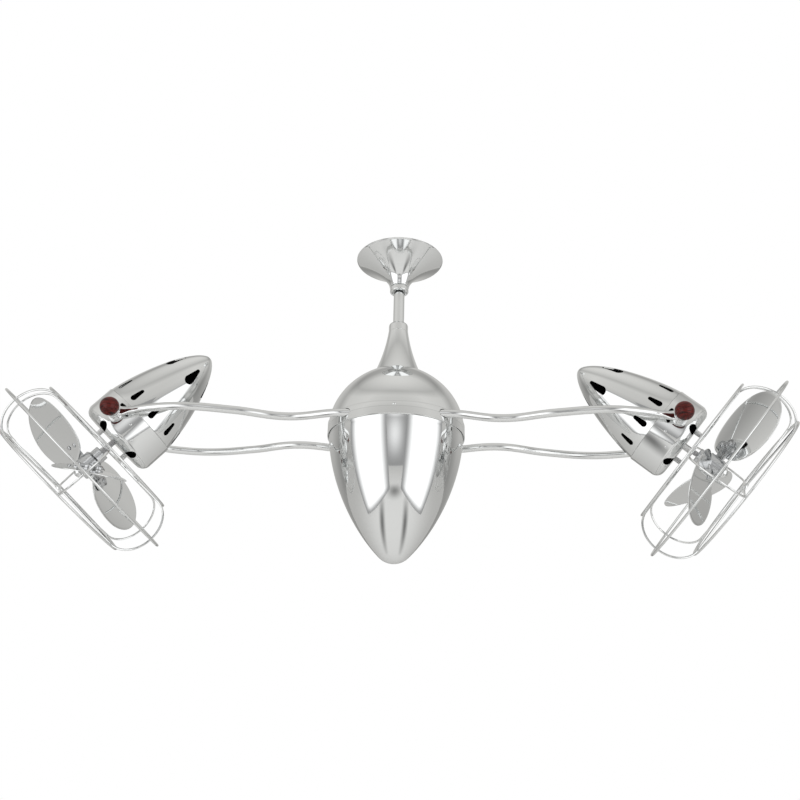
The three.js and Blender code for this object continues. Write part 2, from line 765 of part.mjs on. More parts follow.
function casing(side) {
  const inside = casingRadius - casingWall;
  const lid = casingFront - casingWall;
  const bearingSeat = motorBearingRadius + gap;
  const cornerR = casingRadius - casingCorner;
  const cornerZ = casingFront - casingCorner;
  const bearingStop = frontBearingBack + motorBearingWidth + gap;
  const line = [
    at(casingRadius, seam),
    ...arc(cornerR, cornerZ, casingCorner, 0, 90, 3),
    at(shaftHoleRadius, casingFront),
    at(shaftHoleRadius, bearingStop),
    at(bearingSeat, bearingStop),
    at(bearingSeat, frontBearingBack),
    at(bearingBossRadius, frontBearingBack),
    at(bearingBossRadius, lid),
    ...arc(cornerR, cornerZ, casingCorner - casingWall, 90, 0, 1),
    at(inside, seam),
    at(casingRadius, seam),
  ];
  const cup = revolve(line, headFacets);
  const bosses = [-1, 1].map((end) => {
    return bar(point(0, end * (inside + 0.4), 0), point(0, end * bossFace, 0), bossRadius);
  });
  const posts = Array.from({ length: guardPostCount }, (_, k) => {
    const turn = ((k + 0.5) * 2 * Math.PI) / guardPostCount;
    const [x, y] = [guardSeatRadius * Math.cos(turn), guardSeatRadius * Math.sin(turn)];
    return bar(point(x, y, lid + 0.5), point(x, y, seatBack - gap), guardPostRadius, 6);
  });
  const boltHoles = [-1, 1].map((end) => {
    return bar(point(0, end * (inside - 4), 0), point(0, end * (bossFace + 1), 0), boltRadius + holeGap);
  });
  const drops = Array.from({ length: dropCount }, (_, k) => {
    return dropCutter(around(side, dropPhase + (360 * k) / dropCount));
  });
  const sideSlots = [-1, 1].flatMap((end) => {
    const [near, far] = [end * sideCutStart, end * sideCutEnd];
    const low = point(-sideSlotHalf, Math.min(near, far), -sideSlotPlace - sideSlotRadius);
    const high = point(sideSlotHalf, Math.max(near, far), -sideSlotPlace + sideSlotRadius);
    const ends = [-sideSlotHalf, sideSlotHalf].map((x) => {
      return bar(point(x, near, -sideSlotPlace), point(x, far, -sideSlotPlace), sideSlotRadius, 8);
    });
    return [block(low, high), ...ends];
  });
  return cut(join(cup, ...bosses, ...posts), ...boltHoles, ...drops, ...sideSlots);
}

function endPlate() {
  const edge = casingRadius - casingWall - gap;
  const bearingSeat = motorBearingRadius + gap;
  const front = rearBearingBack + motorBearingWidth;
  const line = [
    at(shaftHoleRadius, seam),
    at(edge, seam),
    at(edge, seam + endPlateThick - gap),
    at(bearingBossRadius, seam + endPlateThick - gap),
    at(bearingBossRadius, front),
    at(bearingSeat, front),
    at(bearingSeat, rearBearingBack - gap),
    at(shaftHoleRadius, rearBearingBack - gap),
    at(shaftHoleRadius, seam),
  ];
  const holes = Array.from({ length: endPlateHoles }, (_, k) => {
    const turn = (2 * Math.PI * k) / endPlateHoles;
    const [x, y] = [endPlateHolePlace * Math.cos(turn), endPlateHolePlace * Math.sin(turn)];
    return bar(point(x, y, seam - 1), point(x, y, seam + endPlateThick + 1), endPlateHole, 6);
  });
  return cut(revolve(line, motorFacets), ...holes);
}

function stator() {
  const edge = casingRadius - casingWall - gap;
  const line = [
    at(statorBore, -statorBack),
    at(windingBore, -statorBack),
    at(windingBore, -statorBack - windingProud),
    at(windingRadius, -statorBack - windingProud),
    at(windingRadius, -statorBack),
    at(edge, -statorBack),
    at(edge, statorFront),
    at(windingRadius, statorFront),
    at(windingRadius, statorFront + windingProud),
    at(windingBore, statorFront + windingProud),
    at(windingBore, statorFront),
    at(statorBore, statorFront),
    at(statorBore, -statorBack),
  ];
  return revolve(line, motorFacets);
}

function motorBearing(back) {
  return sleeve(shaftRadius + gap, motorBearingRadius, back, back + motorBearingWidth, motorFacets);
}

function rotorShaft() {
  const core = statorBore * Math.cos(Math.PI / motorFacets) - airGap;
  const line = [
    at(0, rearBearingBack),
    at(shaftRadius, rearBearingBack),
    at(shaftRadius, -statorBack),
    at(core, -statorBack),
    at(core, statorFront),
    at(shaftRadius, statorFront),
    at(shaftRadius, hubFront - gap),
    at(0, hubFront - gap),
  ];
  return revolve(line, motorFacets);
}

// One guard wire of the rear or the front half: straight out to the side hoop, then round the bend.
class GuardWire extends THREE.Curve {
  constructor(angle, start, end, inner, bends) {
    super();
    Object.assign(this, { angle, start, end, inner, bends });
  }

  getUtoTmapping(u) {
    return u;
  }

  getPoint(t) {
    const station = t * (this.bends + 1);
    const turn = this.start + (this.end - this.start) * Math.max((station - 1) / this.bends, 0);
    const bend = sideHoopRadius + (wireOut - sideHoopRadius) * Math.sin(turn);
    const radius = station < 1 ? this.inner + (sideHoopRadius - this.inner) * station : bend;
    const height = wireMiddle - wireDepth * Math.cos(turn);
    return point(radius * Math.cos(this.angle), radius * Math.sin(this.angle), height);
  }
}

function guardHalf(isRear, inner) {
  const edge = isRear ? guardSplit : guardSplit + gap;
  const start = isRear ? 0 : Math.PI;
  const end = Math.acos((wireMiddle - edge) / wireDepth);
  return Array.from({ length: guardWires }, (_, k) => {
    const wire = new GuardWire((2 * Math.PI * k) / guardWires, start, end, inner, guardBends);
    return tube(wire, wireRadius, guardBends + 1, wireSides);
  });
}

function guardRearHalf() {
  const inner = guardSeatRadius - guardSeatWidth / 2;
  const outer = guardSeatRadius + guardSeatWidth / 2;
  const seat = sleeve(inner, outer, seatBack, seatFront, motorFacets);
  const rearHoop = hoop(sideHoopRadius, guardRear, sideHoopFacets);
  const middleHoop = hoop(middleHoopRadius, wireMiddle, middleHoopFacets);
  return join(seat, rearHoop, middleHoop, ...guardHalf(true, guardSeatRadius));
}

function guardFrontHalf() {
  const low = guardWireFront - centreThick / 2;
  const centre = bar(point(0, 0, low), point(0, 0, low + centreThick), centreRadius, 12);
  const frontHoop = hoop(sideHoopRadius, guardFront, sideHoopFacets);
  return join(centre, frontHoop, ...guardHalf(false, centreRadius / 2));
}

// ---- rotors ----

const bladeLean = radians(bladePitch);
const ironFace = -bladeThick / 2 - gap;                         // the irons lie behind the blades

// Turns a thing laid out with X along the blade and Y across it into its place on the hub.
function ontoHub(geometry, k, phase) {
  const turn = radians(phase) + (2 * Math.PI * k) / bladeCount;
  return geometry.rotateX(bladeLean).rotateZ(turn).translate(0, 0, rotorPlace);
}

// A leaf-shaped blade, cupped across its width.
function blade(k, phase) {
  const rows = 7;
  const columns = 4;
  const middle = (bladeRoot + bladeTip) / 2;
  const half = (bladeTip - bladeRoot) / 2;
  const corners = [];
  const spot = (i, j, face) => (face * (rows + 1) + i) * (columns + 1) + j;
  for (const face of [0, 1]) {
    for (let i = 0; i <= rows; i += 1) {
      const along = Math.cos(Math.PI * (0.04 + (0.92 * i) / rows));
      const halfWidth = (bladeWidth / 2) * (1 - along ** 2) ** bladeFullness;
      for (let j = 0; j <= columns; j += 1) {
        const across = halfWidth * ((2 * j) / columns - 1);
        const lift = bladeCamber * (across / (bladeWidth / 2)) ** 2;
        corners.push(middle + half * along, across, lift + (face - 0.5) * bladeThick);
      }
    }
  }
  const faces = [];
  const quad = (a, b, c, d) => faces.push(a, b, c, a, c, d);
  for (let i = 0; i < rows; i += 1) {
    for (let j = 0; j < columns; j += 1) {
      quad(spot(i, j, 0), spot(i, j + 1, 0), spot(i + 1, j + 1, 0), spot(i + 1, j, 0));
      quad(spot(i, j, 1), spot(i + 1, j, 1), spot(i + 1, j + 1, 1), spot(i, j + 1, 1));
    }
    quad(spot(i, 0, 0), spot(i + 1, 0, 0), spot(i + 1, 0, 1), spot(i, 0, 1));
    quad(spot(i, columns, 0), spot(i, columns, 1), spot(i + 1, columns, 1), spot(i + 1, columns, 0));
  }
  for (let j = 0; j < columns; j += 1) {
    quad(spot(0, j, 0), spot(0, j, 1), spot(0, j + 1, 1), spot(0, j + 1, 0));
    quad(spot(rows, j, 0), spot(rows, j + 1, 0), spot(rows, j + 1, 1), spot(rows, j, 1));
  }
  const geometry = new THREE.BufferGeometry();
  geometry.setAttribute('position', new THREE.Float32BufferAttribute(corners, 3));
  geometry.setIndex(faces);
  return ontoHub(geometry, k, phase);
}

// The hub carries one iron a blade: a palm with a lobe under each of three screws.
function bladeHub(phase) {
  const bore = shaftRadius + gap;
  const line = [
    at(bore, hubBack),
    at(hubRadius - hubStep, hubBack),
    at(hubRadius - hubStep, rotorPlace - hubStepPlace),
    at(hubRadius, rotorPlace - hubStepPlace + hubCorner),
    at(hubRadius, hubFront - hubCorner),
    at(hubRadius - hubCorner, hubFront),
    at(bore, hubFront),
    at(bore, hubBack),
  ];
  const drum = revolve(line, motorFacets);
  const lobe = ironReach - ironLobe;
  const palm = new THREE.Shape([
    at(ironStart, -ironLobe),
    ...arc(lobe - ironLobe, -ironSpread, ironLobe, -110, -10, 3),
    ...arc(lobe, 0, ironLobe, -60, 60, 3),
    ...arc(lobe - ironLobe, ironSpread, ironLobe, 10, 110, 3),
    at(ironStart, ironLobe),
  ]);
  const irons = Array.from({ length: bladeCount }, (_, k) => {
    return ontoHub(plate(palm, ironThick).translate(0, 0, ironFace - ironThick), k, phase);
  });
  const shaftBore = bar(point(0, 0, hubBack - 1), point(0, 0, hubFront + 1), bore, motorFacets);
  return cut(join(drum, ...irons), shaftBore);
}

function hubCap() {
  const bottom = hubFront + gap;
  const dome = arc(0, bottom, capHeight, 20, 90, 3);
  return revolve([at(0, bottom), at(capRadius, bottom), ...dome], smallFacets);
}

// ---- knobs: a wooden ball on a ferrule with the pivot's bolt ----

const ferruleBase = eyeOuter + gap;
const ferruleTop = ferruleBase + ferruleHeight;

function towardsPivot(geometry, end) {
  return geometry.rotateX(end > 0 ? -Math.PI / 2 : Math.PI / 2);
}

function knobBolt(end) {
  const line = [
    at(0, ferruleBase - boltLength),
    at(boltRadius, ferruleBase - boltLength),
    at(boltRadius, ferruleBase),
    at(ferruleRadius, ferruleBase),
    at(ferruleRadius, ferruleTop - 1),
    at(ferruleRadius - 1, ferruleTop),
    at(0, ferruleTop),
  ];
  return towardsPivot(revolve(line, knobFacets), end);
}

function knobBall(end) {
  const flat = ferruleTop + gap;
  const centre = flat + Math.sqrt(ballRadius ** 2 - ballFlatRadius ** 2);
  const start = THREE.MathUtils.radToDeg(Math.asin((flat - centre) / ballRadius));
  return towardsPivot(revolve([at(0, flat), ...arc(0, centre, ballRadius, start, 90, 5)], knobFacets), end);
}

// ---- assembly ----

const fan = new THREE.Group();

piece('ceiling_bracket', ceilingBracket(), steel, fan);
piece('hanger_pin', hangerPin(), steel, fan);
piece('down_rod', downRod(), chrome, fan);
piece('canopy', canopy(), chrome, fan);
piece('canopy_collar', canopyCollar(), chrome, fan);
piece('slip_ring', slipRing(), brass, fan);
piece('thrust_washer', thrustWasher(), steel, fan);
piece('rod_nut', rodNut(), steel, fan);

piece('neck_collar', neckCollar(), chrome, fan);
piece('upper_shell', upperShell(), chrome, fan);
piece('lower_shell', lowerShell(), chrome, fan);
piece('hub_frame', hubFrame(), steel, fan);
piece('upper_bearing', rodBearing(hubTubeHalf - bearingWidth), steel, fan);
piece('lower_bearing', rodBearing(-hubTubeHalf), steel, fan);
piece('brush_block', brushBlock(), plastic, fan);

for (const [side, depth] of armCorners) {
  const name = `${side < 0 ? 'left' : 'right'}_arm_${depth < 0 ? 'near' : 'far'}`;
  piece(name, arm(side, depth), chrome, fan);
}

const headPlaces = [
  [-1, 'left', leftTilt, leftPhase],
  [1, 'right', rightTilt, rightPhase],
];

for (const [side, name, tilt, phase] of headPlaces) {
  const head = new THREE.Group();
  head.position.set(side * pivotReach, 0, body(0));
  head.rotation.y = side * (Math.PI / 2 + radians(tilt));
  fan.add(head);
  piece(`${name}_casing`, casing(side), chrome, head);
  piece(`${name}_rear_housing`, rearHousing(side), chrome, head);
  piece(`${name}_end_plate`, endPlate(), steel, head);
  piece(`${name}_stator`, stator(), copper, head);
  piece(`${name}_front_bearing`, motorBearing(frontBearingBack), steel, head);
  piece(`${name}_rear_bearing`, motorBearing(rearBearingBack), steel, head);
  piece(`${name}_guard_rear`, guardRearHalf(), chrome, head);
  piece(`${name}_guard_front`, guardFrontHalf(), chrome, head);
  piece(`${name}_rotor_shaft`, rotorShaft(), steel, head);
  piece(`${name}_blade_hub`, bladeHub(phase), chrome, head);
  piece(`${name}_hub_cap`, hubCap(), chrome, head);
  for (let k = 0; k < bladeCount; k += 1) {
    piece(`${name}_blade_${k + 1}`, blade(k, phase), chrome, head);
  }
  for (const end of [-1, 1]) {
    const place = end < 0 ? 'near' : 'far';
    piece(`${name}_knob_bolt_${place}`, knobBolt(end), chrome, head);
    piece(`${name}_knob_ball_${place}`, knobBall(end), wood, head);
  }
}

export default fan;
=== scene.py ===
import json
from math import asin, atan2, cos, hypot, pi, radians, sin, sqrt

import bpy
from mathutils import Matrix, Vector


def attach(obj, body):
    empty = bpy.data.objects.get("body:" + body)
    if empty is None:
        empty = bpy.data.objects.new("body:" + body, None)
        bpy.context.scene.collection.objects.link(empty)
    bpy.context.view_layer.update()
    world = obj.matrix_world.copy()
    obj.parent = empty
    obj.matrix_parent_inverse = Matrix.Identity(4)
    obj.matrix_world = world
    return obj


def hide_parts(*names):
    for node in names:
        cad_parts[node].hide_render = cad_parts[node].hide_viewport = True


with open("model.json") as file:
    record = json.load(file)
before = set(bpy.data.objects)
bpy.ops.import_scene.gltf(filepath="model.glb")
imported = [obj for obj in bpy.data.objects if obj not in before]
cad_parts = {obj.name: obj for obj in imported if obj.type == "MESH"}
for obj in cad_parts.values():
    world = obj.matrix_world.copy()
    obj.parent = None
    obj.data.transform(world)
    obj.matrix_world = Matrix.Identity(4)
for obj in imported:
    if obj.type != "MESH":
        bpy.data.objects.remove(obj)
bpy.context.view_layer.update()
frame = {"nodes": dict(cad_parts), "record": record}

mm = 0.001
seatGap = 0.3   # between pieces that rest on each other, in mm
axisRadius = 0.02   # of a profile's end on its axis
fan = {"armDrop": 313, "pivotReach": 423.7, "tilt": {"left": 47.2, "right": 39.5}}
sides = {"left": -1, "right": 1}
ends = {"near": -1, "far": 1}
print("frame loaded with", len(frame["nodes"]), "nodes")


# working tools

def clearSelection():
    if bpy.context.object and bpy.context.object.mode != "OBJECT":
        bpy.ops.object.mode_set(mode="OBJECT")
    bpy.ops.object.select_all(action="DESELECT")


def pick(*pieces):
    clearSelection()
    for piece in pieces:
        piece.select_set(True)
    bpy.context.view_layer.objects.active = pieces[0]


def named(name):
    piece = bpy.context.object
    piece.name = name
    piece.data.name = name
    return piece


def settle(piece, place=None):
    # the object's place goes into its mesh
    if place is not None:
        piece.matrix_world = place @ piece.matrix_world
    pick(piece)
    bpy.ops.object.transform_apply(location=True, rotation=True, scale=True)
    return piece


def openMesh(piece, test=None):
    # edit mode with the corners that pass the test selected, or all of them
    pick(piece)
    bpy.ops.object.mode_set(mode="EDIT")
    bpy.ops.mesh.select_mode(type="VERT")
    bpy.ops.mesh.select_all(action="SELECT" if test is None else "DESELECT")
    if test is not None:
        bpy.ops.object.mode_set(mode="OBJECT")
        for corner in piece.data.vertices:
            corner.select = test(corner.co)
        bpy.ops.object.mode_set(mode="EDIT")


def closeMesh():
    bpy.ops.mesh.select_all(action="SELECT")
    bpy.ops.mesh.remove_doubles(threshold=0.002 * mm)
    bpy.ops.mesh.normals_make_consistent(inside=False)
    bpy.ops.object.mode_set(mode="OBJECT")


def addModifier(piece, kind, **settings):
    pick(piece)
    bpy.ops.object.modifier_add(type=kind)
    modifier = piece.modifiers[-1]
    for setting, value in settings.items():
        setattr(modifier, setting, value)
    bpy.ops.object.modifier_apply(modifier=modifier.name)


def thicken(piece, wall, offset=-1, inside=None):
    # a sheet wall, whose inner face may have a finish of its own, such as the near-black painted shade
    if inside:
        piece.data.materials.append(chrome)
        piece.data.materials.append(inside)
    addModifier(piece, "SOLIDIFY", thickness=wall * mm, offset=offset, use_even_offset=True,
                material_offset=1 if inside else 0)


def roundEdges(piece, width, segments=3, angle=40):
    addModifier(piece, "BEVEL", width=width * mm, segments=segments, limit_method="ANGLE",
                angle_limit=radians(angle), use_clamp_overlap=True)


def cutAway(piece, cutter):
    addModifier(piece, "BOOLEAN", operation="DIFFERENCE", solver="EXACT", object=cutter)
    bpy.data.objects.remove(cutter)


def weld(piece, addition):
    addModifier(piece, "BOOLEAN", operation="UNION", solver="EXACT", object=addition)
    bpy.data.objects.remove(addition)


def gather(first, *others):
    if others:
        pick(first, *others)
        bpy.ops.object.join()
    return first


def smooth(piece, angle=32):
    pick(piece)
    bpy.ops.object.shade_smooth_by_angle(angle=radians(angle))
    return piece


def arc(r, z, radius, start, end, steps=8):
    turns = [radians(start + (end - start) * k / steps) for k in range(steps + 1)]
    return [(r + radius * cos(turn), z + radius * sin(turn)) for turn in turns]


def roundTip(profile, radius):
    # a profile that starts at its tip on the axis gets a round cap there
    for (r, z), (nextR, nextZ) in zip(profile[1:], profile[2:]):
        length = hypot(nextR - r, nextZ - z)
        reach = r * length / (nextZ - z)
        if reach >= radius:
            start = atan2(nextR - r, nextZ - z)
            middle = z + reach * sin(start)
            turns = [-pi / 2 + (pi / 2 - start) * k / 10 for k in range(10)]
            cap = [(max(reach * cos(turn), axisRadius), middle + reach * sin(turn)) for turn in turns]
            return cap + profile[profile.index((r, z)):]
    return profile


def turned(name, profile, steps=96):
    # a ring at the profile's first point is extruded and resized to each of the others
    radius, height = profile[0]
    clearSelection()
    bpy.ops.mesh.primitive_circle_add(vertices=steps, radius=radius * mm, location=(0, 0, height * mm))
    piece = settle(named(name))
    openMesh(piece)
    for nextRadius, nextHeight in profile[1:]:
        rise = (nextHeight - height) * mm
        widen = nextRadius / radius
        bpy.ops.mesh.extrude_edges_move(TRANSFORM_OT_translate={"value": (0, 0, rise)})
        bpy.ops.transform.resize(value=(widen, widen, 1), center_override=(0, 0, nextHeight * mm))
        radius, height = nextRadius, nextHeight
    closeMesh()
    return piece


def rod(name, start, end, radius, steps=32):
    # a round bar between two points
    start, end = Vector(start) * mm, Vector(end) * mm
    clearSelection()
    bpy.ops.mesh.primitive_cylinder_add(vertices=steps, radius=radius * mm, depth=(end - start).length)
    piece = named(name)
    turn = Vector((0, 0, 1)).rotation_difference(end - start).to_matrix().to_4x4()
    return settle(piece, Matrix.Translation((start + end) / 2) @ turn)


def bentTube(name, route, radius, roundness=4, fineness=8):
    # a smooth curve through the route's points, made round
    clearSelection()
    bpy.ops.curve.primitive_bezier_curve_add()
    tube = named(name)
    spline = tube.data.splines[0]
    spline.bezier_points.add(len(route) - 2)
    for knot, place in zip(spline.bezier_points, route):
        knot.co = Vector(place) * mm
        knot.handle_left_type = "AUTO"
        knot.handle_right_type = "AUTO"
    tube.data.resolution_u = fineness
    tube.data.bevel_depth = radius * mm
    tube.data.bevel_resolution = roundness
    tube.data.use_fill_caps = True
    pick(tube)
    bpy.ops.object.convert(target="MESH")
    return named(name)


def repeatRound(piece, count):
    # copies about the Z axis, in one mesh
    openMesh(piece)
    bpy.ops.mesh.spin(dupli=True, steps=count - 1, angle=2 * pi * (count - 1) / count,
                      center=(0, 0, 0), axis=(0, 0, 1), use_auto_merge=False)
    bpy.ops.object.mode_set(mode="OBJECT")
    return piece


# finishes

def newFinish(name):
    finish = bpy.data.materials.new(name)
    finish.use_nodes = True
    return finish, finish.node_tree.nodes, finish.node_tree.links, finish.node_tree.nodes["Principled BSDF"]


def objectPattern(nodes, links, kind, stretch=(1, 1, 1), **settings):
    # a procedural texture on the object's own coordinates
    place = nodes.new("ShaderNodeTexCoord")
    mapping = nodes.new("ShaderNodeMapping")
    mapping.inputs["Scale"].default_value = stretch
    texture = nodes.new(kind)
    for socket, value in settings.items():
        texture.inputs[socket].default_value = value
    links.new(place.outputs["Object"], mapping.inputs["Vector"])
    links.new(mapping.outputs["Vector"], texture.inputs["Vector"])
    return texture


def spread(nodes, links, source, low, high, target):
    # a pattern's 0 to 1 becomes low to high at the target socket
    span = nodes.new("ShaderNodeMapRange")
    span.inputs["To Min"].default_value = low
    span.inputs["To Max"].default_value = high
    links.new(source, span.inputs["Value"])
    links.new(span.outputs["Result"], target)


def addBump(nodes, links, source, strength, distance, shader):
    bump = nodes.new("ShaderNodeBump")
    bump.inputs["Strength"].default_value = strength
    bump.inputs["Distance"].default_value = distance * mm
    links.new(source, bump.inputs["Height"])
    links.new(bump.outputs["Normal"], shader.inputs["Normal"])


def metalFinish(name, colour, polish, grain, stretch=(1, 1, 1), bump=0.0):
    finish, nodes, links, shader = newFinish(name)
    shader.inputs["Base Color"].default_value = (*colour, 1)
    shader.inputs["Metallic"].default_value = 1
    haze = objectPattern(nodes, links, "ShaderNodeTexNoise", stretch, Scale=grain, Detail=4)
    spread(nodes, links, haze.outputs["Fac"], polish[0], polish[1], shader.inputs["Roughness"])
    if bump:
        addBump(nodes, links, haze.outputs["Fac"], bump, 0.1, shader)
    return finish


def cherryWood():
    finish, nodes, links, shader = newFinish("cherryWood")
    grain = objectPattern(nodes, links, "ShaderNodeTexNoise", (60, 60, 420), Scale=1.0, Detail=8, Distortion=1.4)
    ramp = nodes.new("ShaderNodeValToRGB")
    ramp.color_ramp.elements[0].position = 0.34
    ramp.color_ramp.elements[0].color = (0.012, 0.001, 0.0008, 1)
    ramp.color_ramp.elements[1].position = 0.68
    ramp.color_ramp.elements[1].color = (0.15, 0.011, 0.007, 1)
    links.new(grain.outputs["Fac"], ramp.inputs["Fac"])
    links.new(ramp.outputs["Color"], shader.inputs["Base Color"])
    shader.inputs["Roughness"].default_value = 0.4
    shader.inputs["Specular IOR Level"].default_value = 0.1
    shader.inputs["Coat Weight"].default_value = 0.35
    shader.inputs["Coat Roughness"].default_value = 0.04
    addBump(nodes, links, grain.outputs["Fac"], 0.12, 0.2, shader)
    return finish


def mouldedPlastic():
    finish, nodes, links, shader = newFinish("mouldedPlastic")
    shader.inputs["Base Color"].default_value = (0.02, 0.021, 0.023, 1)
    speckle = objectPattern(nodes, links, "ShaderNodeTexNoise", Scale=900, Detail=2)
    spread(nodes, links, speckle.outputs["Fac"], 0.5, 0.7, shader.inputs["Roughness"])
    addBump(nodes, links, speckle.outputs["Fac"], 0.2, 0.05, shader)
    return finish


chrome = metalFinish("polishedChrome", (0.8, 0.81, 0.81), (0.03, 0.08), 30)
satinChrome = metalFinish("satinChrome", (0.6, 0.61, 0.62), (0.14, 0.24), 30)
steel = metalFinish("turnedSteel", (0.45, 0.45, 0.46), (0.25, 0.45), 60, (1, 1, 12), 0.1)
brass = metalFinish("turnedBrass", (0.6, 0.42, 0.17), (0.2, 0.35), 60, (1, 1, 20), 0.1)
copper = metalFinish("lacqueredCopper", (0.42, 0.17, 0.08), (0.3, 0.5), 150, (3, 3, 1), 0.3)
wood = cherryWood()
plastic = mouldedPlastic()
# near-black painted shade for the insides of the shells and the parts seen through their openings, where shade falls
paintedShadeInside = metalFinish("paintedShadeInsideFinish", (0.012, 0.012, 0.013), (0.6, 0.8), 40)
print("finishes ready")


def hand(piece, body, finish, slot, *nodes):
    # a finished piece gets its finish, its body and the nodes that it stands for
    if not piece.data.materials:
        piece.data.materials.append(finish)
    smooth(piece)
    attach(piece, body)
    if nodes:
        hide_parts(*nodes)


# ceiling mount

canopyShape = {"rim": 72.7, "neck": 16, "height": 52, "gap": 0.6, "flare": 1.7, "wall": 1.2, "lip": 9.4, "edge": 1,
               "steps": 30, "spacing": 0.9}
collarShape = {"radius": 15.4, "height": 9.5, "bore": 9.3, "recess": 5, "recessRadius": 12.2, "corner": 2,
               "chamfer": 0.5}
rodShape = {"radius": 9, "wall": 2, "top": -16.7, "bottom": -362.6}


def canopyTrumpet():
    shape = canopyShape
    bottom = -shape["gap"] - shape["height"]
    profile = [(shape["lip"], bottom), (shape["neck"] - shape["edge"], bottom)]
    for k in range(shape["steps"] + 1):
        rise = (k / shape["steps"]) ** shape["spacing"]
        radius = shape["neck"] + (shape["rim"] - shape["neck"]) * rise ** shape["flare"]
        profile.append((radius, bottom + shape["height"] * max(rise, 0.01)))
    piece = turned("canopyTrumpet", profile, 128)
    thicken(piece, shape["wall"])
    roundEdges(piece, 0.4, 2, 50)
    hand(piece, "mount", chrome, "chrome", "canopy")


def canopyRing():
    shape = collarShape
    top = -canopyShape["gap"] - canopyShape["height"] - seatGap
    bottom = top - shape["height"]
    corner, chamfer = shape["corner"], shape["chamfer"]
    profile = [(shape["bore"], top), (shape["bore"], bottom + shape["recess"])]
    profile += [(shape["recessRadius"], bottom + shape["recess"]), (shape["recessRadius"], bottom + chamfer)]
    profile += [(shape["recessRadius"] + chamfer, bottom)]
    profile += arc(shape["radius"] - corner, bottom + corner, corner, -90, 0)
    profile += arc(shape["radius"] - corner, top - corner, corner, 0, 90)
    profile += [(shape["bore"], top)]
    hand(turned("canopyRing", profile, 72), "mount", chrome, "chrome", "canopy_collar")


def hangingRod():
    shape = rodShape
    inner = shape["radius"] - shape["wall"]
    profile = [(inner, shape["bottom"]), (shape["radius"], shape["bottom"]), (shape["radius"], shape["top"]),
               (inner, shape["top"]), (inner, shape["bottom"])]
    piece = turned("hangingRod", profile, 48)
    roundEdges(piece, 0.3, 2)
    hand(piece, "mount", chrome, "chrome", "down_rod")


canopyTrumpet()
canopyRing()
hangingRod()
print("ceiling mount ready")


# turning body

domeShape = {"band": 107, "bandTop": 9, "seam": -12.6, "base": 3, "rise": 104.7, "round": 1.95, "full": 1.72,
             "neckBase": 98, "neckTop": 175, "neckRadius": 16, "taper": 0.134, "flare": 0.0019, "wall": 1.5,
             "rolledEdge": ((0.5, 0), (0, 0.6)), "groove": ((0, -1.3), (0.5, -1), (0.5, -0.4), (0, -0.1)),
             "shoulder": ((0, -1.2), (0.4, -0.4)), "domeInset": 1, "domeSteps": 40, "neckSteps": 24}
eggShape = {"length": 204, "above": 15.2, "round": 1.854, "full": 1.263, "radius": 105.2, "lip": 7, "tip": 30,
            "lipInset": 0.1, "lipStart": 2, "steps": 60}
neckRingShape = {"radius": 15.6, "height": 15.5, "corner": 5, "bore": 9.3, "spigot": 14.2, "reach": 8,
                 "chamfer": 0.5}
screwShape = {"sunk": 0.4, "rim": 0.2, "turns": (0.3, 0.6, 0.9, 1.2), "slitLength": 1.1, "slitWidth": 0.25,
              "slitPlace": 0.9}
bandScrewShape = {"angles": (-90, 30, 150), "height": 3, "head": 2.6, "dome": 1.1}
armEntry = 77
armHole = {"upper": 6.8, "lower": 7.2, "reach": 120}


def cutArmHoles(piece, radius):
    for end in ends.values():
        places = [(side * armHole["reach"], end * armEntry, -fan["armDrop"]) for side in sides.values()]
        cutAway(piece, rod("armHole", *places, radius))


def upperDome():
    shape = domeShape
    level = -fan["armDrop"]
    # the band has a rolled lower edge and a shallow groove under the dome
    profile = [(shape["band"] - inset, level + shape["seam"] + up) for inset, up in shape["rolledEdge"]]
    profile += [(shape["band"] - inset, level + up) for inset, up in shape["groove"]]
    profile += [(shape["band"] - inset, level + shape["bandTop"] + up) for inset, up in shape["shoulder"]]
    for k in range(shape["domeSteps"]):
        climb = sin(pi / 2 * k / shape["domeSteps"])
        height = shape["bandTop"] + (shape["neckBase"] - shape["bandTop"]) * climb
        rise = (height - shape["base"]) / shape["rise"]
        radius = (shape["band"] - shape["domeInset"]) * (1 - rise ** shape["round"]) ** (1 / shape["full"])
        profile.append((radius, level + height))
    for k in range(shape["neckSteps"] + 1):
        height = shape["neckBase"] + (shape["neckTop"] - shape["neckBase"]) * k / shape["neckSteps"]
        below = shape["neckTop"] - height
        radius = shape["neckRadius"] + shape["taper"] * below + shape["flare"] * below ** 2
        profile.append((radius, level + height))
    piece = turned("upperDome", profile, 144)
    thicken(piece, shape["wall"], inside=paintedShadeInside)
    cutArmHoles(piece, armHole["upper"])
    hand(piece, "carousel", chrome, "chrome", "upper_shell")


def lowerEgg():
    shape = eggShape
    level = -fan["armDrop"]
    seam = domeShape["seam"]
    profile = []
    for k in range(shape["steps"] + 1):
        down = shape["length"] * sin(pi / 2 * (1 - k / shape["steps"]))
        fall = (down + shape["above"]) / (shape["length"] + shape["above"])
        radius = shape["radius"] * (1 - min(fall, 1) ** shape["round"]) ** (1 / shape["full"])
        profile.append((max(radius, axisRadius), level + seam - down))
    profile.append((shape["radius"] - shape["lipInset"], level + seam + shape["lipStart"]))
    profile.append((shape["radius"] - shape["lipInset"], level + shape["lip"]))
    piece = turned("lowerEgg", roundTip(profile, shape["tip"]), 144)
    thicken(piece, domeShape["wall"], inside=paintedShadeInside)
    cutArmHoles(piece, armHole["lower"])
    hand(piece, "carousel", chrome, "chrome", "lower_shell")


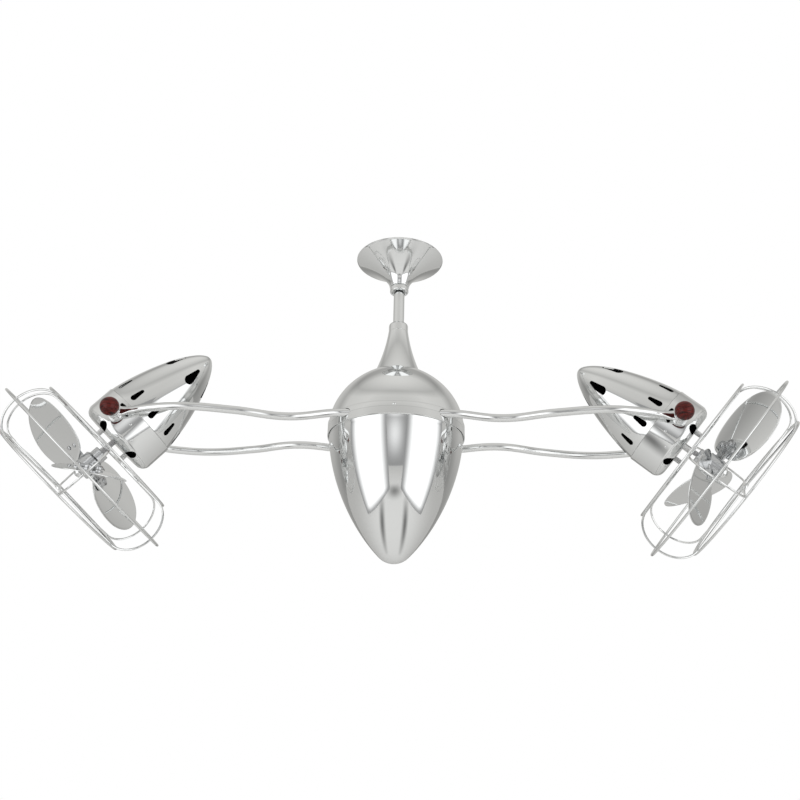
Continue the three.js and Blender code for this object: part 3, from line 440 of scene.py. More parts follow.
def neckRing():
    shape = neckRingShape
    bottom = domeShape["neckTop"] - fan["armDrop"] + seatGap
    top = bottom + shape["height"]
    corner = shape["corner"]
    profile = [(shape["bore"], bottom - shape["reach"]), (shape["spigot"], bottom - shape["reach"])]
    profile += [(shape["spigot"], bottom), (shape["radius"] - shape["chamfer"], bottom)]
    profile += [(shape["radius"], bottom + shape["chamfer"])]
    profile += arc(shape["radius"] - corner, top - corner, corner, 0, 90)
    profile += [(shape["bore"], top), (shape["bore"], bottom - shape["reach"])]
    hand(turned("neckRing", profile, 72), "carousel", chrome, "chrome", "neck_collar")


def screwHead(name, radius, dome, slits=(0, 90)):
    # a domed head, standing on the XY plane, whose slits make a cross recess
    shape = screwShape
    rim = shape["rim"]
    profile = [(radius, -shape["sunk"]), (radius, rim)]
    profile += [(radius * cos(turn), rim + dome * sin(turn)) for turn in shape["turns"]] + [(axisRadius, rim + dome)]
    piece = turned(name, profile, 24)
    openMesh(piece, lambda place: place.z < -shape["sunk"] * 0.75 * mm)
    bpy.ops.mesh.edge_face_add()
    closeMesh()
    for turn in slits:
        clearSelection()
        bpy.ops.mesh.primitive_cube_add(size=1)
        slit = named("screwSlit")
        slit.scale = (radius * shape["slitLength"] * mm, radius * shape["slitWidth"] * mm, dome * mm)
        slit.rotation_euler = (0, 0, radians(turn))
        slit.location = (0, 0, (rim + dome * shape["slitPlace"]) * mm)
        cutAway(piece, settle(slit))
    return piece


def bandScrews():
    shape = bandScrewShape
    for number, angle in enumerate(shape["angles"], 1):
        piece = screwHead("bandScrew" + str(number), shape["head"], shape["dome"])
        out = Matrix.Rotation(radians(angle), 4, "Z") @ Matrix.Translation((domeShape["band"] * mm, 0, 0))
        lift = Matrix.Translation((0, 0, (shape["height"] - fan["armDrop"]) * mm))
        settle(piece, lift @ out @ Matrix.Rotation(pi / 2, 4, "Y"))
        hand(piece, "carousel", chrome, "chrome")


upperDome()
lowerEgg()
neckRing()
bandScrews()
print("turning body ready")


# arms

armShape = {"radius": 6, "inner": 40, "straight": 84, "pinchReach": 163, "pinch": 60.5, "bulgeReach": 318,
            "bulge": 97.5, "eyeRadius": 11.5, "eyeInner": 72.8, "eyeThick": 7.2, "boltHole": 4.4, "flatten": 18,
            "pressed": 0.47, "widened": 0.25, "roundness": 6}


def armRoute(side, end):
    shape = armShape
    reach = fan["pivotReach"]
    middle = shape["eyeInner"] + shape["eyeThick"] / 2
    stations = [(shape["inner"], armEntry), (shape["straight"] - 18, armEntry), (shape["straight"], armEntry),
                (shape["pinchReach"], shape["pinch"]),
                ((shape["pinchReach"] + shape["bulgeReach"]) / 2, (shape["pinch"] + shape["bulge"]) / 2 + 5),
                (shape["bulgeReach"], shape["bulge"]), (reach - 53, middle + 12), (reach - 33, middle + 4),
                (reach - 16, middle), (reach - shape["eyeRadius"] / 2, middle)]
    return [(side * x, end * y, -fan["armDrop"]) for x, y in stations]


def pressFlat(piece, ringSize):
    # the tube's end is pressed to the thickness of the eye, ring by ring
    shape = armShape
    corners = piece.data.vertices
    for start in range(0, len(corners) - ringSize + 1, ringSize):
        ring = corners[start:start + ringSize]
        middle = sum((corner.co for corner in ring), Vector()) / ringSize
        way = (abs(middle.x) / mm - fan["pivotReach"] + shape["eyeRadius"] + shape["flatten"]) / shape["flatten"]
        amount = min(max(way, 0), 1)
        amount = amount * amount * (3 - 2 * amount)
        thin = 1 + (shape["eyeThick"] * shape["pressed"] / shape["radius"] - 1) * amount
        for corner in ring:
            corner.co.y = middle.y + (corner.co.y - middle.y) * thin
            corner.co.z = middle.z + (corner.co.z - middle.z) * (1 + shape["widened"] * amount)


def bentArm(sideName, endName):
    shape = armShape
    side, end = sides[sideName], ends[endName]
    name = sideName + "Arm" + endName.capitalize()
    piece = bentTube(name, armRoute(side, end), shape["radius"], shape["roundness"], 14)
    # a tube's ring has twice its roundness in corners, and four more
    pressFlat(piece, 2 * shape["roundness"] + 4)
    x, z = side * fan["pivotReach"], -fan["armDrop"]
    inner, outer = end * shape["eyeInner"], end * (shape["eyeInner"] + shape["eyeThick"])
    eye = rod("armEye", (x, inner, z), (x, outer, z), shape["eyeRadius"], 64)
    roundEdges(eye, 1.2)
    weld(piece, eye)
    cutAway(piece, rod("boltHole", (x, inner - end, z), (x, outer + end, z), shape["boltHole"]))
    hand(piece, "carousel", chrome, "chrome", sideName + "_arm_" + endName)


for sideName in sides:
    for endName in ends:
        bentArm(sideName, endName)
print("arms ready")


# heads: Z is the fan's axis, Y the pivots' axis, and the pivots are at the origin

casingShape = {"radius": 65, "back": -24, "front": 29, "corner": 14, "wall": 1.8, "shaftHole": 6, "edge": (0.6, 0.5),
               "boss": 11, "bossReach": 72.5, "bossEdge": 0.8, "bossSunk": 0.3, "boltHole": 4.4,
               "boltReach": 80}
dropShape = {"count": 6, "phase": -91, "radius": 7.4, "tail": 15, "depth": 22, "tailStart": 1.1, "taper": 0.5}
besideBoss = {"bend": 17, "start": -74, "end": -142, "radius": 2.7, "depth": 4, "steps": 8}
# the ring of painted shade behind the drops
shadeRingShape = {"bore": 14.6, "radius": 57, "frontRadius": 45, "back": 15, "front": 26}
bearingBoss = {"bore": 11.3, "radius": 14, "back": 18, "front": 28}
guardPosts = {"count": 3, "angle": 60, "radius": 4, "start": 28}
casingScrewShape = {"places": ((-5, -65), (10, -48)), "head": 1.9, "dome": 0.8}
housingShape = {"base": -24.3, "radius": 63.8, "length": 148.7, "round": 1.27, "full": 1.69, "wall": 1.5, "tip": 11,
                "steps": 60, "phase": -56}
housingSlots = {"front": {"count": 10, "start": 32, "length": 23.5, "width": 9.6, "narrow": 6},
                "tail": {"count": 5, "start": 112, "length": 31, "width": 15.5, "narrow": 5.6}}
slotDepth = (12, 82)   # from the head's axis
justBelow = -0.0001    # of the middle, for the lower half of a round cutter


def toHead(side):
    place = Matrix.Translation((sides[side] * fan["pivotReach"] * mm, 0, -fan["armDrop"] * mm))
    return place @ Matrix.Rotation(sides[side] * (pi / 2 + radians(fan["tilt"][side])), 4, "Y")


def aroundHead(side, angle):
    # degrees from a head's lower side towards its far pivot; the two heads mirror each other
    return radians(angle if side == "right" else 180 - angle)


def slotCutter(start, length, width, narrow):
    # a slot along Z, wide at its upper end, that points out along X
    near, far = slotDepth
    clearSelection()
    bpy.ops.mesh.primitive_cylinder_add(vertices=32, radius=width / 2 * mm, depth=(far - near) * mm)
    cutter = named("slotCutter")
    openMesh(cutter, lambda place: place.y < justBelow * mm)
    stretch = length - width / 2 - narrow / 2
    bpy.ops.transform.resize(value=(narrow / width, narrow / width, 1), center_override=(0, 0, 0))
    bpy.ops.transform.translate(value=(0, -stretch * mm, 0))
    bpy.ops.object.mode_set(mode="OBJECT")
    axes = Matrix(((0, 0, 1, 0), (1, 0, 0, 0), (0, 1, 0, 0), (0, 0, 0, 1)))
    return settle(cutter, Matrix.Translation(((near + far) / 2 * mm, 0, (-start - width / 2) * mm)) @ axes)


def rearHousing(side):
    shape = housingShape
    profile = []
    for k in range(shape["steps"] + 1):
        back = sin(pi / 2 * (1 - k / shape["steps"]))
        radius = shape["radius"] * (1 - back ** shape["round"]) ** (1 / shape["full"])
        profile.append((max(radius, axisRadius), shape["base"] - shape["length"] * back))
    piece = turned(side + "RearHousing", roundTip(profile, shape["tip"]), 120)
    thicken(piece, shape["wall"], inside=paintedShadeInside)
    turn = Matrix.Rotation(aroundHead(side, shape["phase"]), 4, "Z")
    for row in housingSlots.values():
        cutter = slotCutter(row["start"], row["length"], row["width"], row["narrow"])
        cutAway(piece, repeatRound(settle(cutter, turn), row["count"]))
    settle(piece, toHead(side))
    hand(piece, side + "_head", chrome, "chrome", side + "_rear_housing")


def dropCutter():
    # a drop across the casing's rounded corner, with its tail towards the middle of the front
    shape = dropShape
    clearSelection()
    bpy.ops.mesh.primitive_cylinder_add(vertices=48, radius=shape["radius"] * mm, depth=shape["depth"] * mm)
    cutter = named("dropCutter")
    openMesh(cutter, lambda place: place.y < justBelow * mm)
    bpy.ops.transform.resize(value=(1, shape["tail"] / shape["radius"], 1), center_override=(0, 0, 0))
    openMesh(cutter, lambda place: place.y < -shape["radius"] * shape["tailStart"] * mm)
    bpy.ops.transform.resize(value=(shape["taper"], 1, 1), center_override=(0, 0, 0))
    bpy.ops.object.mode_set(mode="OBJECT")
    half = sqrt(0.5)
    # tangent, along the front away from the middle and square to the corner
    axes = Matrix(((0, half, half, 0), (-1, 0, 0, 0), (0, -half, half, 0), (0, 0, 0, 1)))
    inward = casingShape["corner"] * (1 - half)
    place = (casingShape["radius"] - inward, 0, casingShape["front"] - inward)
    return settle(cutter, Matrix.Translation(Vector(place) * mm) @ axes)


def squareRing(name, shape, steps, frontRadius=None):
    outer = frontRadius or shape["radius"]
    profile = [(shape["bore"], shape["back"]), (shape["radius"], shape["back"]), (outer, shape["front"]),
               (shape["bore"], shape["front"]), (shape["bore"], shape["back"])]
    return turned(name, profile, steps)


def shadeRingBehindDrops():
    # a near-black ring behind the drops, painted shade for the dark inside of the casing
    shadeRingPiece = squareRing("shadeRingBehindDrops", shadeRingShape, 72, shadeRingShape["frontRadius"])
    shadeRingPiece.data.materials.append(paintedShadeInside)
    return shadeRingPiece


def guardPost():
    shape = guardPosts
    turn = radians(shape["angle"])
    x, y = guardShape["seatRadius"] * cos(turn), guardShape["seatRadius"] * sin(turn)
    post = rod("guardPost", (x, y, shape["start"]), (x, y, guardShape["seatBack"] - seatGap), shape["radius"], 24)
    return repeatRound(post, shape["count"])


def cutBesideBoss(piece, side, end):
    # a slot that bends round the pivot boss, cut along the casing's side
    shape = besideBoss
    middle = casingShape["radius"] - casingShape["wall"] / 2
    route = []
    for k in range(shape["steps"] + 1):
        turn = radians(shape["start"] + (shape["end"] - shape["start"]) * k / shape["steps"])
        x = sides[side] * -shape["bend"] * cos(turn)
        route.append((x, end * sqrt(middle ** 2 - x * x), shape["bend"] * sin(turn)))
    cutAway(piece, bentTube("sideSlot", route, shape["radius"], 6, 4))
    for x, y, z in (route[0], route[-1]):
        cutAway(piece, rod("slotEnd", (x, y - shape["depth"], z), (x, y + shape["depth"], z), shape["radius"]))


def motorCasing(side):
    shape = casingShape
    cornerR, cornerZ = shape["radius"] - shape["corner"], shape["front"] - shape["corner"]
    edgeUp, edgeIn = shape["edge"]
    profile = [(shape["shaftHole"], shape["front"])] + arc(cornerR, cornerZ, shape["corner"], 90, 0, 16)
    profile += [(shape["radius"], shape["back"] + edgeUp), (shape["radius"] - edgeIn, shape["back"])]
    piece = turned(side + "MotorCasing", profile, 120)
    thicken(piece, shape["wall"], inside=paintedShadeInside)
    inside = shape["radius"] - shape["wall"] + shape["bossSunk"]
    for end in ends.values():
        boss = rod("pivotBoss", (0, end * inside, 0), (0, end * shape["bossReach"], 0), shape["boss"], 48)
        roundEdges(boss, shape["bossEdge"])
        weld(piece, boss)
    cutAway(piece, rod("boltHoles", (0, -shape["boltReach"], 0), (0, shape["boltReach"], 0), shape["boltHole"], 32))
    turn = Matrix.Rotation(aroundHead(side, dropShape["phase"]), 4, "Z")
    cutAway(piece, repeatRound(settle(dropCutter(), turn), dropShape["count"]))
    for end in ends.values():
        cutBesideBoss(piece, side, end)
    # the bearing boss, the ring of painted shade behind the drops and the guard posts join the casing
    gather(piece, squareRing("bearingBoss", bearingBoss, 48), shadeRingBehindDrops(), guardPost())
    settle(piece, toHead(side))
    hand(piece, side + "_head", chrome, "chrome", side + "_casing")


def casingScrews(side):
    # the two small screws on the casing's near side
    shape = casingScrewShape
    for number, (along, angle) in enumerate(shape["places"], 1):
        piece = screwHead(side + "CasingScrew" + str(number), shape["head"], shape["dome"])
        turn = Matrix.Rotation(aroundHead(side, angle), 4, "Z")
        out = Matrix.Translation((casingShape["radius"] * mm, 0, along * mm)) @ Matrix.Rotation(pi / 2, 4, "Y")
        settle(piece, toHead(side) @ turn @ out)
        hand(piece, side + "_head", chrome, "chrome")


# guards

guardShape = {"wire": 1.6, "hoop": 1.9, "wires": 6, "rear": 41.7, "front": 137.5, "sideRadius": 125.2,
              "middleRadius": 165, "sink": 1.4, "seatRadius": 30, "seatWidth": 12, "seatHole": 1.7, "seatHoles": 12,
              "centreRadius": 9, "centreThick": 5, "pastHoop": 1.5, "bendStart": 4, "seatEdge": 0.6, "centreEdge": 1,
              "drill": (-9, 5), "intoSeat": 1, "intoCentre": 2}
guardShape["set"] = guardShape["wire"] + guardShape["hoop"] - guardShape["sink"]
guardShape["middle"] = (guardShape["rear"] + guardShape["front"]) / 2
guardShape["depth"] = (guardShape["front"] - guardShape["rear"]) / 2 - guardShape["set"]
guardShape["out"] = guardShape["middleRadius"] - guardShape["set"]
guardShape["split"] = guardShape["middle"] + guardShape["hoop"] + guardShape["pastHoop"]
guardShape["seatBack"] = guardShape["middle"] - guardShape["depth"] - guardShape["wire"]


def hoop(radius, height):
    clearSelection()
    bpy.ops.mesh.primitive_torus_add(major_segments=144, minor_segments=14, major_radius=radius * mm,
                                     minor_radius=guardShape["hoop"] * mm, location=(0, 0, height * mm))
    return settle(named("guardHoop"))


def guardWires(start, end, inner):
    # straight out to the side hoop, then round the bend
    shape = guardShape
    edge, height = shape["sideRadius"], shape["middle"] - shape["depth"] * cos(start)
    route = [(inner, 0, height), ((inner + edge) / 2, 0, height), (edge - shape["bendStart"], 0, height)]
    steps = 9
    for k in range(1, steps + 1):
        turn = start + (end - start) * k / steps
        radius = edge + (shape["out"] - edge) * sin(turn)
        route.append((radius, 0, shape["middle"] - shape["depth"] * cos(turn)))
    return repeatRound(bentTube("guardWires", route, shape["wire"], 3, 4), shape["wires"])


def rearGuard(side):
    shape = guardShape
    low, high = shape["seatRadius"] - shape["seatWidth"] / 2, shape["seatRadius"] + shape["seatWidth"] / 2
    top = shape["seatBack"] + 2 * shape["wire"]
    seat = turned("guardSeat", [(low, shape["seatBack"]), (high, shape["seatBack"]), (high, top), (low, top),
                                (low, shape["seatBack"])], 72)
    roundEdges(seat, shape["seatEdge"], 2)
    through = [(shape["seatRadius"], 0, top + height) for height in shape["drill"]]
    hole = rod("seatHole", *through, shape["seatHole"], 16)
    turn = Matrix.Rotation(pi / shape["seatHoles"], 4, "Z")
    cutAway(seat, repeatRound(settle(hole, turn), shape["seatHoles"]))
    bend = pi / 2 + asin((shape["split"] - shape["middle"]) / shape["depth"])
    piece = gather(guardWires(0, bend, high - shape["intoSeat"]), seat, hoop(shape["sideRadius"], shape["rear"]),
                   hoop(shape["middleRadius"], shape["middle"]))
    piece.name = side + "RearGuard"
    settle(piece, toHead(side))
    hand(piece, side + "_head", chrome, "chrome", side + "_guard_rear")


def frontGuard(side):
    shape = guardShape
    low = shape["middle"] + shape["depth"] - shape["centreThick"] / 2
    centre = rod("guardCentre", (0, 0, low), (0, 0, low + shape["centreThick"]), shape["centreRadius"], 48)
    roundEdges(centre, shape["centreEdge"])
    bend = pi / 2 + asin((shape["split"] + seatGap - shape["middle"]) / shape["depth"])
    wires = guardWires(pi, bend, shape["centreRadius"] - shape["intoCentre"])
    piece = gather(wires, centre, hoop(shape["sideRadius"], shape["front"]))
    piece.name = side + "FrontGuard"
    settle(piece, toHead(side))
    hand(piece, side + "_head", chrome, "chrome", side + "_guard_front")


for side in sides:
    motorCasing(side)
    casingScrews(side)
    rearHousing(side)
    rearGuard(side)
    frontGuard(side)
print("heads and guards ready")


# rotors

bladeShape = {"count": 3, "place": 83, "pitch": 34.5, "width": 108, "root": 19, "tip": 142, "thick": 1.5,
              "camber": 5, "round": 0.5, "fullness": 0.46, "rootFuller": 0.14, "rings": 14, "inset": 0.992,
              "phase": {"left": 116.6, "right": 82.3}}
hubShape = {"radius": 16, "back": 52, "front": 97, "bore": 4.3, "collar": 4, "cone": (65, 68), "corner": 3,
            "groove": ((0, 90), (0.8, 90.6), (0.8, 91.6), (0, 92.2)), "capRadius": 9, "capHeight": 8, "capEdge": 0.6}
ironShape = {"thick": 3, "start": 8, "reach": 50, "lobe": 8, "spread": 15, "widen": 1.7, "edge": 1, "seat": 1.6,
             "frontRivet": (3.6, 1.4), "backRivet": (4, 1.6)}


def ontoHub(side, number):
    turn = radians(bladeShape["phase"][side]) + 2 * pi * number / bladeShape["count"]
    lift = Matrix.Translation((0, 0, bladeShape["place"] * mm))
    return lift @ Matrix.Rotation(turn, 4, "Z") @ Matrix.Rotation(radians(bladeShape["pitch"]), 4, "X")


def leafBlade(side, number):
    shape = bladeShape
    middle, half = (shape["root"] + shape["tip"]) / 2, (shape["tip"] - shape["root"]) / 2
    clearSelection()
    bpy.ops.mesh.primitive_circle_add(vertices=96, radius=1)
    piece = named(side + "Blade" + str(number + 1))
    openMesh(piece)
    for ring in range(shape["rings"] - 1, 0, -1):
        shrink = ring / (ring + 1)
        bpy.ops.mesh.extrude_edges_move()
        bpy.ops.transform.resize(value=(shrink, shrink, 1), center_override=(0, 0, 0))
    bpy.ops.mesh.extrude_edges_move()
    bpy.ops.mesh.merge(type="CENTER")
    closeMesh()
    for corner in piece.data.vertices:
        along, across = corner.co.x, corner.co.y
        full = max(1 - along ** 2, 0.0001) ** (shape["fullness"] - 0.5 - (shape["rootFuller"] if along < 0 else 0))
        y = across * full * shape["width"] / 2
        lift = shape["camber"] * (2 * y / shape["width"]) ** 2
        corner.co = Vector((middle + half * shape["inset"] * along, y, lift)) * mm
    thicken(piece, shape["thick"], 0)
    roundEdges(piece, shape["round"], 2, 50)
    settle(piece, toHead(side) @ ontoHub(side, number))
    hand(piece, side + "_rotor", chrome, "chrome", side + "_blade_" + str(number + 1))


def bladeIron():
    # a palm with a lobe under each of three rivets, behind the blade
    shape = ironShape
    top = -bladeShape["thick"] / 2 - seatGap
    low = top - shape["thick"]
    lobe = shape["reach"] - shape["lobe"]
    places = [(lobe, 0), (lobe - shape["lobe"], shape["spread"]), (lobe - shape["lobe"], -shape["spread"])]
    clearSelection()
    bpy.ops.mesh.primitive_cube_add(size=1)
    palm = named("bladeIron")
    palm.scale = ((lobe - shape["start"]) * mm, 2 * shape["lobe"] * mm, shape["thick"] * mm)
    palm.location = ((lobe + shape["start"]) / 2 * mm, 0, (top + low) / 2 * mm)
    settle(palm)
    openMesh(palm, lambda place: place.x > lobe * 0.9 * mm)
    bpy.ops.transform.resize(value=(1, shape["widen"], 1), center_override=(0, 0, 0))
    bpy.ops.object.mode_set(mode="OBJECT")
    for x, y in places:
        weld(palm, rod("ironLobe", (x, y, low), (x, y, top), shape["lobe"], 40))
    roundEdges(palm, shape["edge"], 3)
    rivets = []
    for x, y in places:
        front = screwHead("rivet", *shape["frontRivet"], ())
        rivets.append(settle(front, Matrix.Translation((x * mm, y * mm, shape["seat"] * mm))))
        back = screwHead("rivetBack", *shape["backRivet"], ())
        rivets.append(settle(back, Matrix.Translation((x * mm, y * mm, low * mm)) @ Matrix.Rotation(pi, 4, "X")))
    return gather(palm, *rivets)


def bladeHub(side):
    shape = hubShape
    radius, back, front, corner = shape["radius"], shape["back"], shape["front"], shape["corner"]
    waist = radius - shape["collar"]
    coneStart, coneEnd = shape["cone"]
    profile = [(shape["bore"], back), (waist - 1, back), (waist, back + 1), (waist, coneStart), (radius, coneEnd)]
    profile += [(radius - inset, height) for inset, height in shape["groove"]]
    profile += arc(radius - corner, front - corner, corner, 0, 90) + [(shape["bore"], front), (shape["bore"], back)]
    piece = turned(side + "BladeHub", profile, 72)
    irons = [settle(bladeIron(), ontoHub(side, number)) for number in range(bladeShape["count"])]
    for iron in irons:
        cutAway(iron, rod("shaftBore", (0, 0, back), (0, 0, front), shape["bore"]))
    gather(piece, *irons)
    settle(piece, toHead(side))
    hand(piece, side + "_rotor", satinChrome, "chrome", side + "_blade_hub")


def hubCap(side):
    shape = hubShape
    radius, low = shape["capRadius"], shape["front"] + seatGap
    profile = [(axisRadius, low), (radius - shape["capEdge"], low), (radius, low + shape["capEdge"])]
    turns = [radians(turn) for turn in range(10, 90, 10)]
    profile += [(radius * cos(turn), low + shape["capHeight"] * sin(turn)) for turn in turns]
    piece = turned(side + "HubCap", profile + [(axisRadius, low + shape["capHeight"])], 48)
    settle(piece, toHead(side))
    hand(piece, side + "_rotor", chrome, "chrome", side + "_hub_cap")


for side in sides:
    bladeHub(side)
    hubCap(side)
    for number in range(bladeShape["count"]):
        leafBlade(side, number)
print("rotors ready")


# knobs

knobShape = {"base": 80.3, "ferrule": 10, "ferruleHeight": 2.8, "bolt": 4, "boltLength": 14, "boltTip": 0.6,
             "rim": 0.4, "corner": 1, "ball": 14.25, "flat": 9}


def outOfPivot(side, end):
    return toHead(side) @ Matrix.Rotation(-end * pi / 2, 4, "X")


def knobFerrule(side, endName):
    shape = knobShape
    base, top = shape["base"], shape["base"] + shape["ferruleHeight"]
    end, tip, corner = base - shape["boltLength"], shape["boltTip"], shape["corner"]
    profile = [(axisRadius, end), (shape["bolt"] - tip, end), (shape["bolt"], end + tip), (shape["bolt"], base)]
    profile += [(shape["ferrule"] - shape["rim"], base), (shape["ferrule"], base + shape["rim"])]
    profile += arc(shape["ferrule"] - corner, top - corner, corner, 0, 90, 5) + [(axisRadius, top)]
    piece = turned(side + "Ferrule" + endName.capitalize(), profile, 64)
    settle(piece, outOfPivot(side, ends[endName]))
    hand(piece, side + "_knob_" + endName, chrome, "chrome", side + "_knob_bolt_" + endName)


def knobBall(side, endName):
    shape = knobShape
    flat = shape["base"] + shape["ferruleHeight"] + seatGap
    centre = flat + sqrt(shape["ball"] ** 2 - shape["flat"] ** 2)
    clearSelection()
    bpy.ops.mesh.primitive_uv_sphere_add(segments=64, ring_count=40, radius=shape["ball"] * mm,
                                         location=(0, 0, centre * mm))
    piece = settle(named(side + "Ball" + endName.capitalize()))
    openMesh(piece)
    bpy.ops.mesh.bisect(plane_co=(0, 0, flat * mm), plane_no=(0, 0, 1), use_fill=True, clear_inner=True)
    closeMesh()
    roundEdges(piece, shape["rim"], 2, 30)
    settle(piece, outOfPivot(side, ends[endName]))
    hand(piece, side + "_knob_" + endName, wood, "wood", side + "_knob_ball_" + endName)


for side in sides:
    for endName in ends:
        knobFerrule(side, endName)
        knobBall(side, endName)
print("knobs ready")


# finishes of the pieces inside, which keep their CAD surfaces

innerFinishes = {"steel": steel, "brass": brass, "winding": copper, "plastic": plastic, "chrome": chrome,
                 "wood": wood}
slots = {part["node"]: part["material_slot"] for part in frame["record"]["subparts"]}
for name, node in frame["nodes"].items():
    # the end plates and stators, seen through the openings, get the near-black painted shade instead of their own
    # finish
    paintedInShade = name.endswith(("_end_plate", "_stator"))
    for index in range(len(node.material_slots)):
        node.material_slots[index].material = paintedShadeInside if paintedInShade else innerFinishes[slots[name]]
print("inner pieces finished")


# studio: a pale floor, soft lamps and a white backdrop with the gaps that chrome shows as dark streaks

studioShape = {"floor": -1.9, "floorSize": 40, "pale": 0.88}
lampAim = (0, 0, -0.4)
softboxes = {"leftSoftbox": {"place": (-1.55, -1.5, -0.72), "size": (2.9, 2.3), "edge": (0.25, 0.09), "glow": 1.4},
             "rightSoftbox": {"place": (1.7, -1.4, -0.72), "size": (2.9, 2.3), "edge": (0.25, 0.09), "glow": 1.4},
             "frontCard": {"place": (0, -2.6, -0.3), "size": (1.9, 1.9), "edge": (0.5, 0.5), "glow": 0.95}}
clothRim = 0.33
studioLamps = {"leftLamp": {"place": (-1.7, -1.9, 1.3), "size": 2.2, "power": 32},
               "rightLamp": {"place": (1.8, -1.8, 1.3), "size": 2.2, "power": 32}}
# dim patches on the floor, which the egg's lower half shows as soft streaks
floorBoards = {"leftBoard": {"place": (-0.98, -1.0, -1.88), "size": (0.75, 2.6), "turn": -8, "tone": 0.2},
               "rightBoard": {"place": (0.93, -0.95, -1.88), "size": (0.75, 2.6), "turn": 10, "tone": 0.2},
               "middleBoard": {"place": (0.05, -2.35, -1.88), "size": (2, 1), "turn": 0, "tone": 0.3}}


def paleFloor():
    clearSelection()
    bpy.ops.mesh.primitive_plane_add(size=studioShape["floorSize"], location=(0, 0, studioShape["floor"]))
    floor = named("paleFloor")
    finish, nodes, links, shader = newFinish("paleFloor")
    pale = studioShape["pale"]
    shader.inputs["Base Color"].default_value = (pale, pale, pale, 1)
    shader.inputs["Roughness"].default_value = 0.9
    floor.data.materials.append(finish)


def fadeToEdges(nodes, links, edge, low, high, target):
    # from high in a unit square's middle to low at its edges
    place = nodes.new("ShaderNodeTexCoord")
    axes = nodes.new("ShaderNodeSeparateXYZ")
    links.new(place.outputs["Object"], axes.inputs["Vector"])
    product = nodes.new("ShaderNodeMath")
    product.operation = "MULTIPLY"
    for index, axis in enumerate("XY"):
        far = nodes.new("ShaderNodeMath")
        far.operation = "ABSOLUTE"
        fade = nodes.new("ShaderNodeMapRange")
        fade.interpolation_type = "SMOOTHSTEP"
        fade.inputs["From Min"].default_value = 0.5
        fade.inputs["From Max"].default_value = 0.5 - edge[index]
        links.new(axes.outputs[axis], far.inputs[0])
        links.new(far.outputs["Value"], fade.inputs["Value"])
        links.new(fade.outputs["Result"], product.inputs[index])
    spread(nodes, links, product.outputs["Value"], low, high, target)


def glowingCloth(name, lamp):
    finish, nodes, links, shader = newFinish(name)
    fadeToEdges(nodes, links, lamp["edge"], clothRim, lamp["glow"], shader.inputs["Emission Strength"])
    shader.inputs["Base Color"].default_value = (0, 0, 0, 1)
    shader.inputs["Emission Color"].default_value = (1, 1, 1, 1)
    return finish


def towardsFan(place):
    return (Vector(lampAim) - Vector(place)).to_track_quat("-Z", "Y").to_euler()


def softLamps():
    for name, lamp in studioLamps.items():
        data = bpy.data.lights.new(name, "AREA")
        data.size = lamp["size"]
        data.energy = lamp["power"]
        item = bpy.data.objects.new(name, data)
        bpy.context.scene.collection.objects.link(item)
        item.location = lamp["place"]
        item.rotation_euler = towardsFan(lamp["place"])
        item.visible_camera = False
        item.visible_glossy = False


def hangCloths():
    # the bright areas that the chrome shows
    for name, cloth in softboxes.items():
        clearSelection()
        bpy.ops.mesh.primitive_plane_add(size=1, location=cloth["place"])
        card = named(name)
        card.rotation_euler = towardsFan(cloth["place"])
        card.scale = (*cloth["size"], 1)
        card.data.materials.append(glowingCloth(name, cloth))
        hideFromCamera(card)


def hideFromCamera(card):
    card.visible_camera = False
    card.visible_diffuse = False
    card.visible_shadow = False


def layBoards():
    for name, board in floorBoards.items():
        finish, nodes, links, shader = newFinish(name)
        fadeToEdges(nodes, links, (0.5, 0.5), studioShape["pale"], board["tone"], shader.inputs["Base Color"])
        shader.inputs["Roughness"].default_value = 0.9
        clearSelection()
        bpy.ops.mesh.primitive_plane_add(size=1, location=board["place"], rotation=(0, 0, radians(board["turn"])))
        card = named(name)
        card.scale = (*board["size"], 1)
        card.data.materials.append(finish)
        hideFromCamera(card)


def toneRamp(nodes, tones):
    ramp = nodes.new("ShaderNodeValToRGB")
    while len(ramp.color_ramp.elements) < len(tones):
        ramp.color_ramp.elements.new(0.5)
    for element, (position, tone) in zip(ramp.color_ramp.elements, tones):
        element.position = position
        element.color = (tone, tone * 0.995, tone * 0.98, 1)
    return ramp


# the room's tone runs from the floor to the ceiling, and is multiplied by one from the front to the backdrop
roomTones = {"Z": ((0.0, 0.5), (0.42, 0.52), (0.5, 0.44), (0.56, 0.52), (0.62, 0.64), (0.72, 0.76), (0.84, 0.76),
                   (0.9, 0.56), (1.0, 0.85)),
             "Y": ((0.0, 0.8), (0.25, 1.0), (0.55, 0.92), (0.7, 0.62), (0.85, 0.8), (1.0, 0.7))}


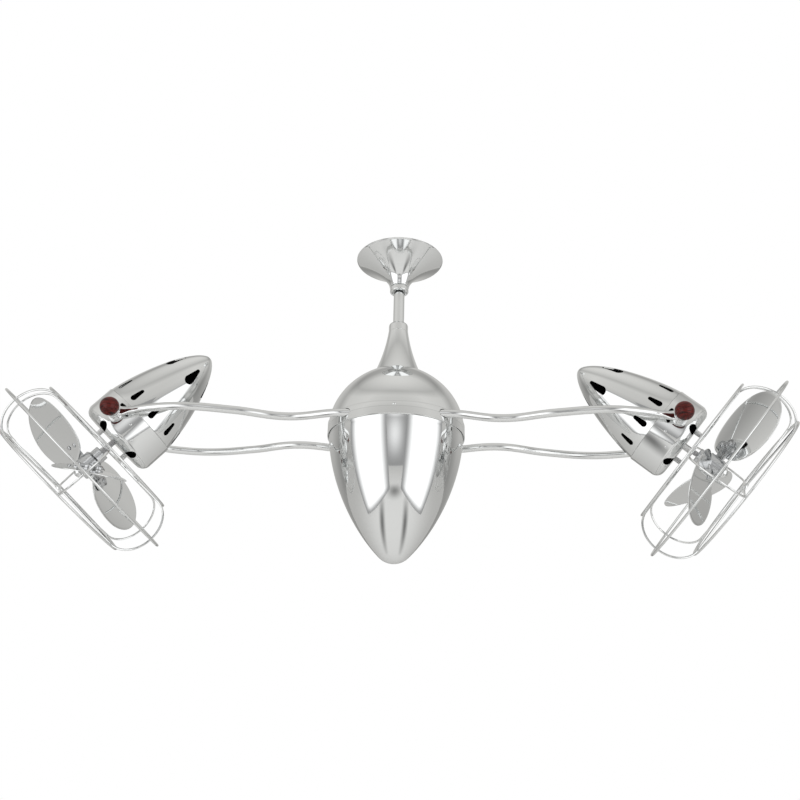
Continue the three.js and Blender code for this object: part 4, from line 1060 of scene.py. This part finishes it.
def studioWorld():
    world = bpy.data.worlds.new("studioWorld")
    bpy.context.scene.world = world
    world.use_nodes = True
    nodes, links = world.node_tree.nodes, world.node_tree.links
    nodes.clear()
    output = nodes.new("ShaderNodeOutputWorld")
    mix = nodes.new("ShaderNodeMixShader")
    seen = nodes.new("ShaderNodeBackground")
    seen.inputs["Color"].default_value = (1, 1, 1, 1)
    room = nodes.new("ShaderNodeBackground")
    path = nodes.new("ShaderNodeLightPath")
    place = nodes.new("ShaderNodeTexCoord")
    axes = nodes.new("ShaderNodeSeparateXYZ")
    product = nodes.new("ShaderNodeMix")
    product.data_type = "RGBA"
    product.blend_type = "MULTIPLY"
    product.inputs["Factor"].default_value = 1
    links.new(place.outputs["Generated"], axes.inputs["Vector"])
    for colourInput, (axis, tones) in zip((6, 7), roomTones.items()):
        half = nodes.new("ShaderNodeMapRange")
        half.inputs["From Min"].default_value = -1
        ramp = toneRamp(nodes, tones)
        links.new(axes.outputs[axis], half.inputs["Value"])
        links.new(half.outputs["Result"], ramp.inputs["Fac"])
        links.new(ramp.outputs["Color"], product.inputs[colourInput])
    links.new(product.outputs[2], room.inputs["Color"])
    links.new(path.outputs["Is Camera Ray"], mix.inputs["Fac"])
    links.new(room.outputs["Background"], mix.inputs[1])
    links.new(seen.outputs["Background"], mix.inputs[2])
    links.new(mix.outputs["Shader"], output.inputs["Surface"])


photoView = {"lens": 41.57, "sensor": 36, "place": (0.0476, -1.3444, -0.8475),
             "right": (0.99955, 0.02349, 0.01870), "up": (-0.00769, -0.40173, 0.91573)}


def photoCamera():
    data = bpy.data.cameras.new("photoCamera")
    data.lens = photoView["lens"]
    data.sensor_width = photoView["sensor"]
    camera = bpy.data.objects.new("photoCamera", data)
    bpy.context.scene.collection.objects.link(camera)
    right, up = Vector(photoView["right"]), Vector(photoView["up"])
    turn = Matrix((right, up, right.cross(up))).transposed().to_4x4()
    camera.matrix_world = Matrix.Translation(photoView["place"]) @ turn
    bpy.context.scene.camera = camera


paleFloor()
softLamps()
hangCloths()
layBoards()
studioWorld()
photoCamera()
bpy.context.scene.view_settings.view_transform = "Standard"
print("studio ready")
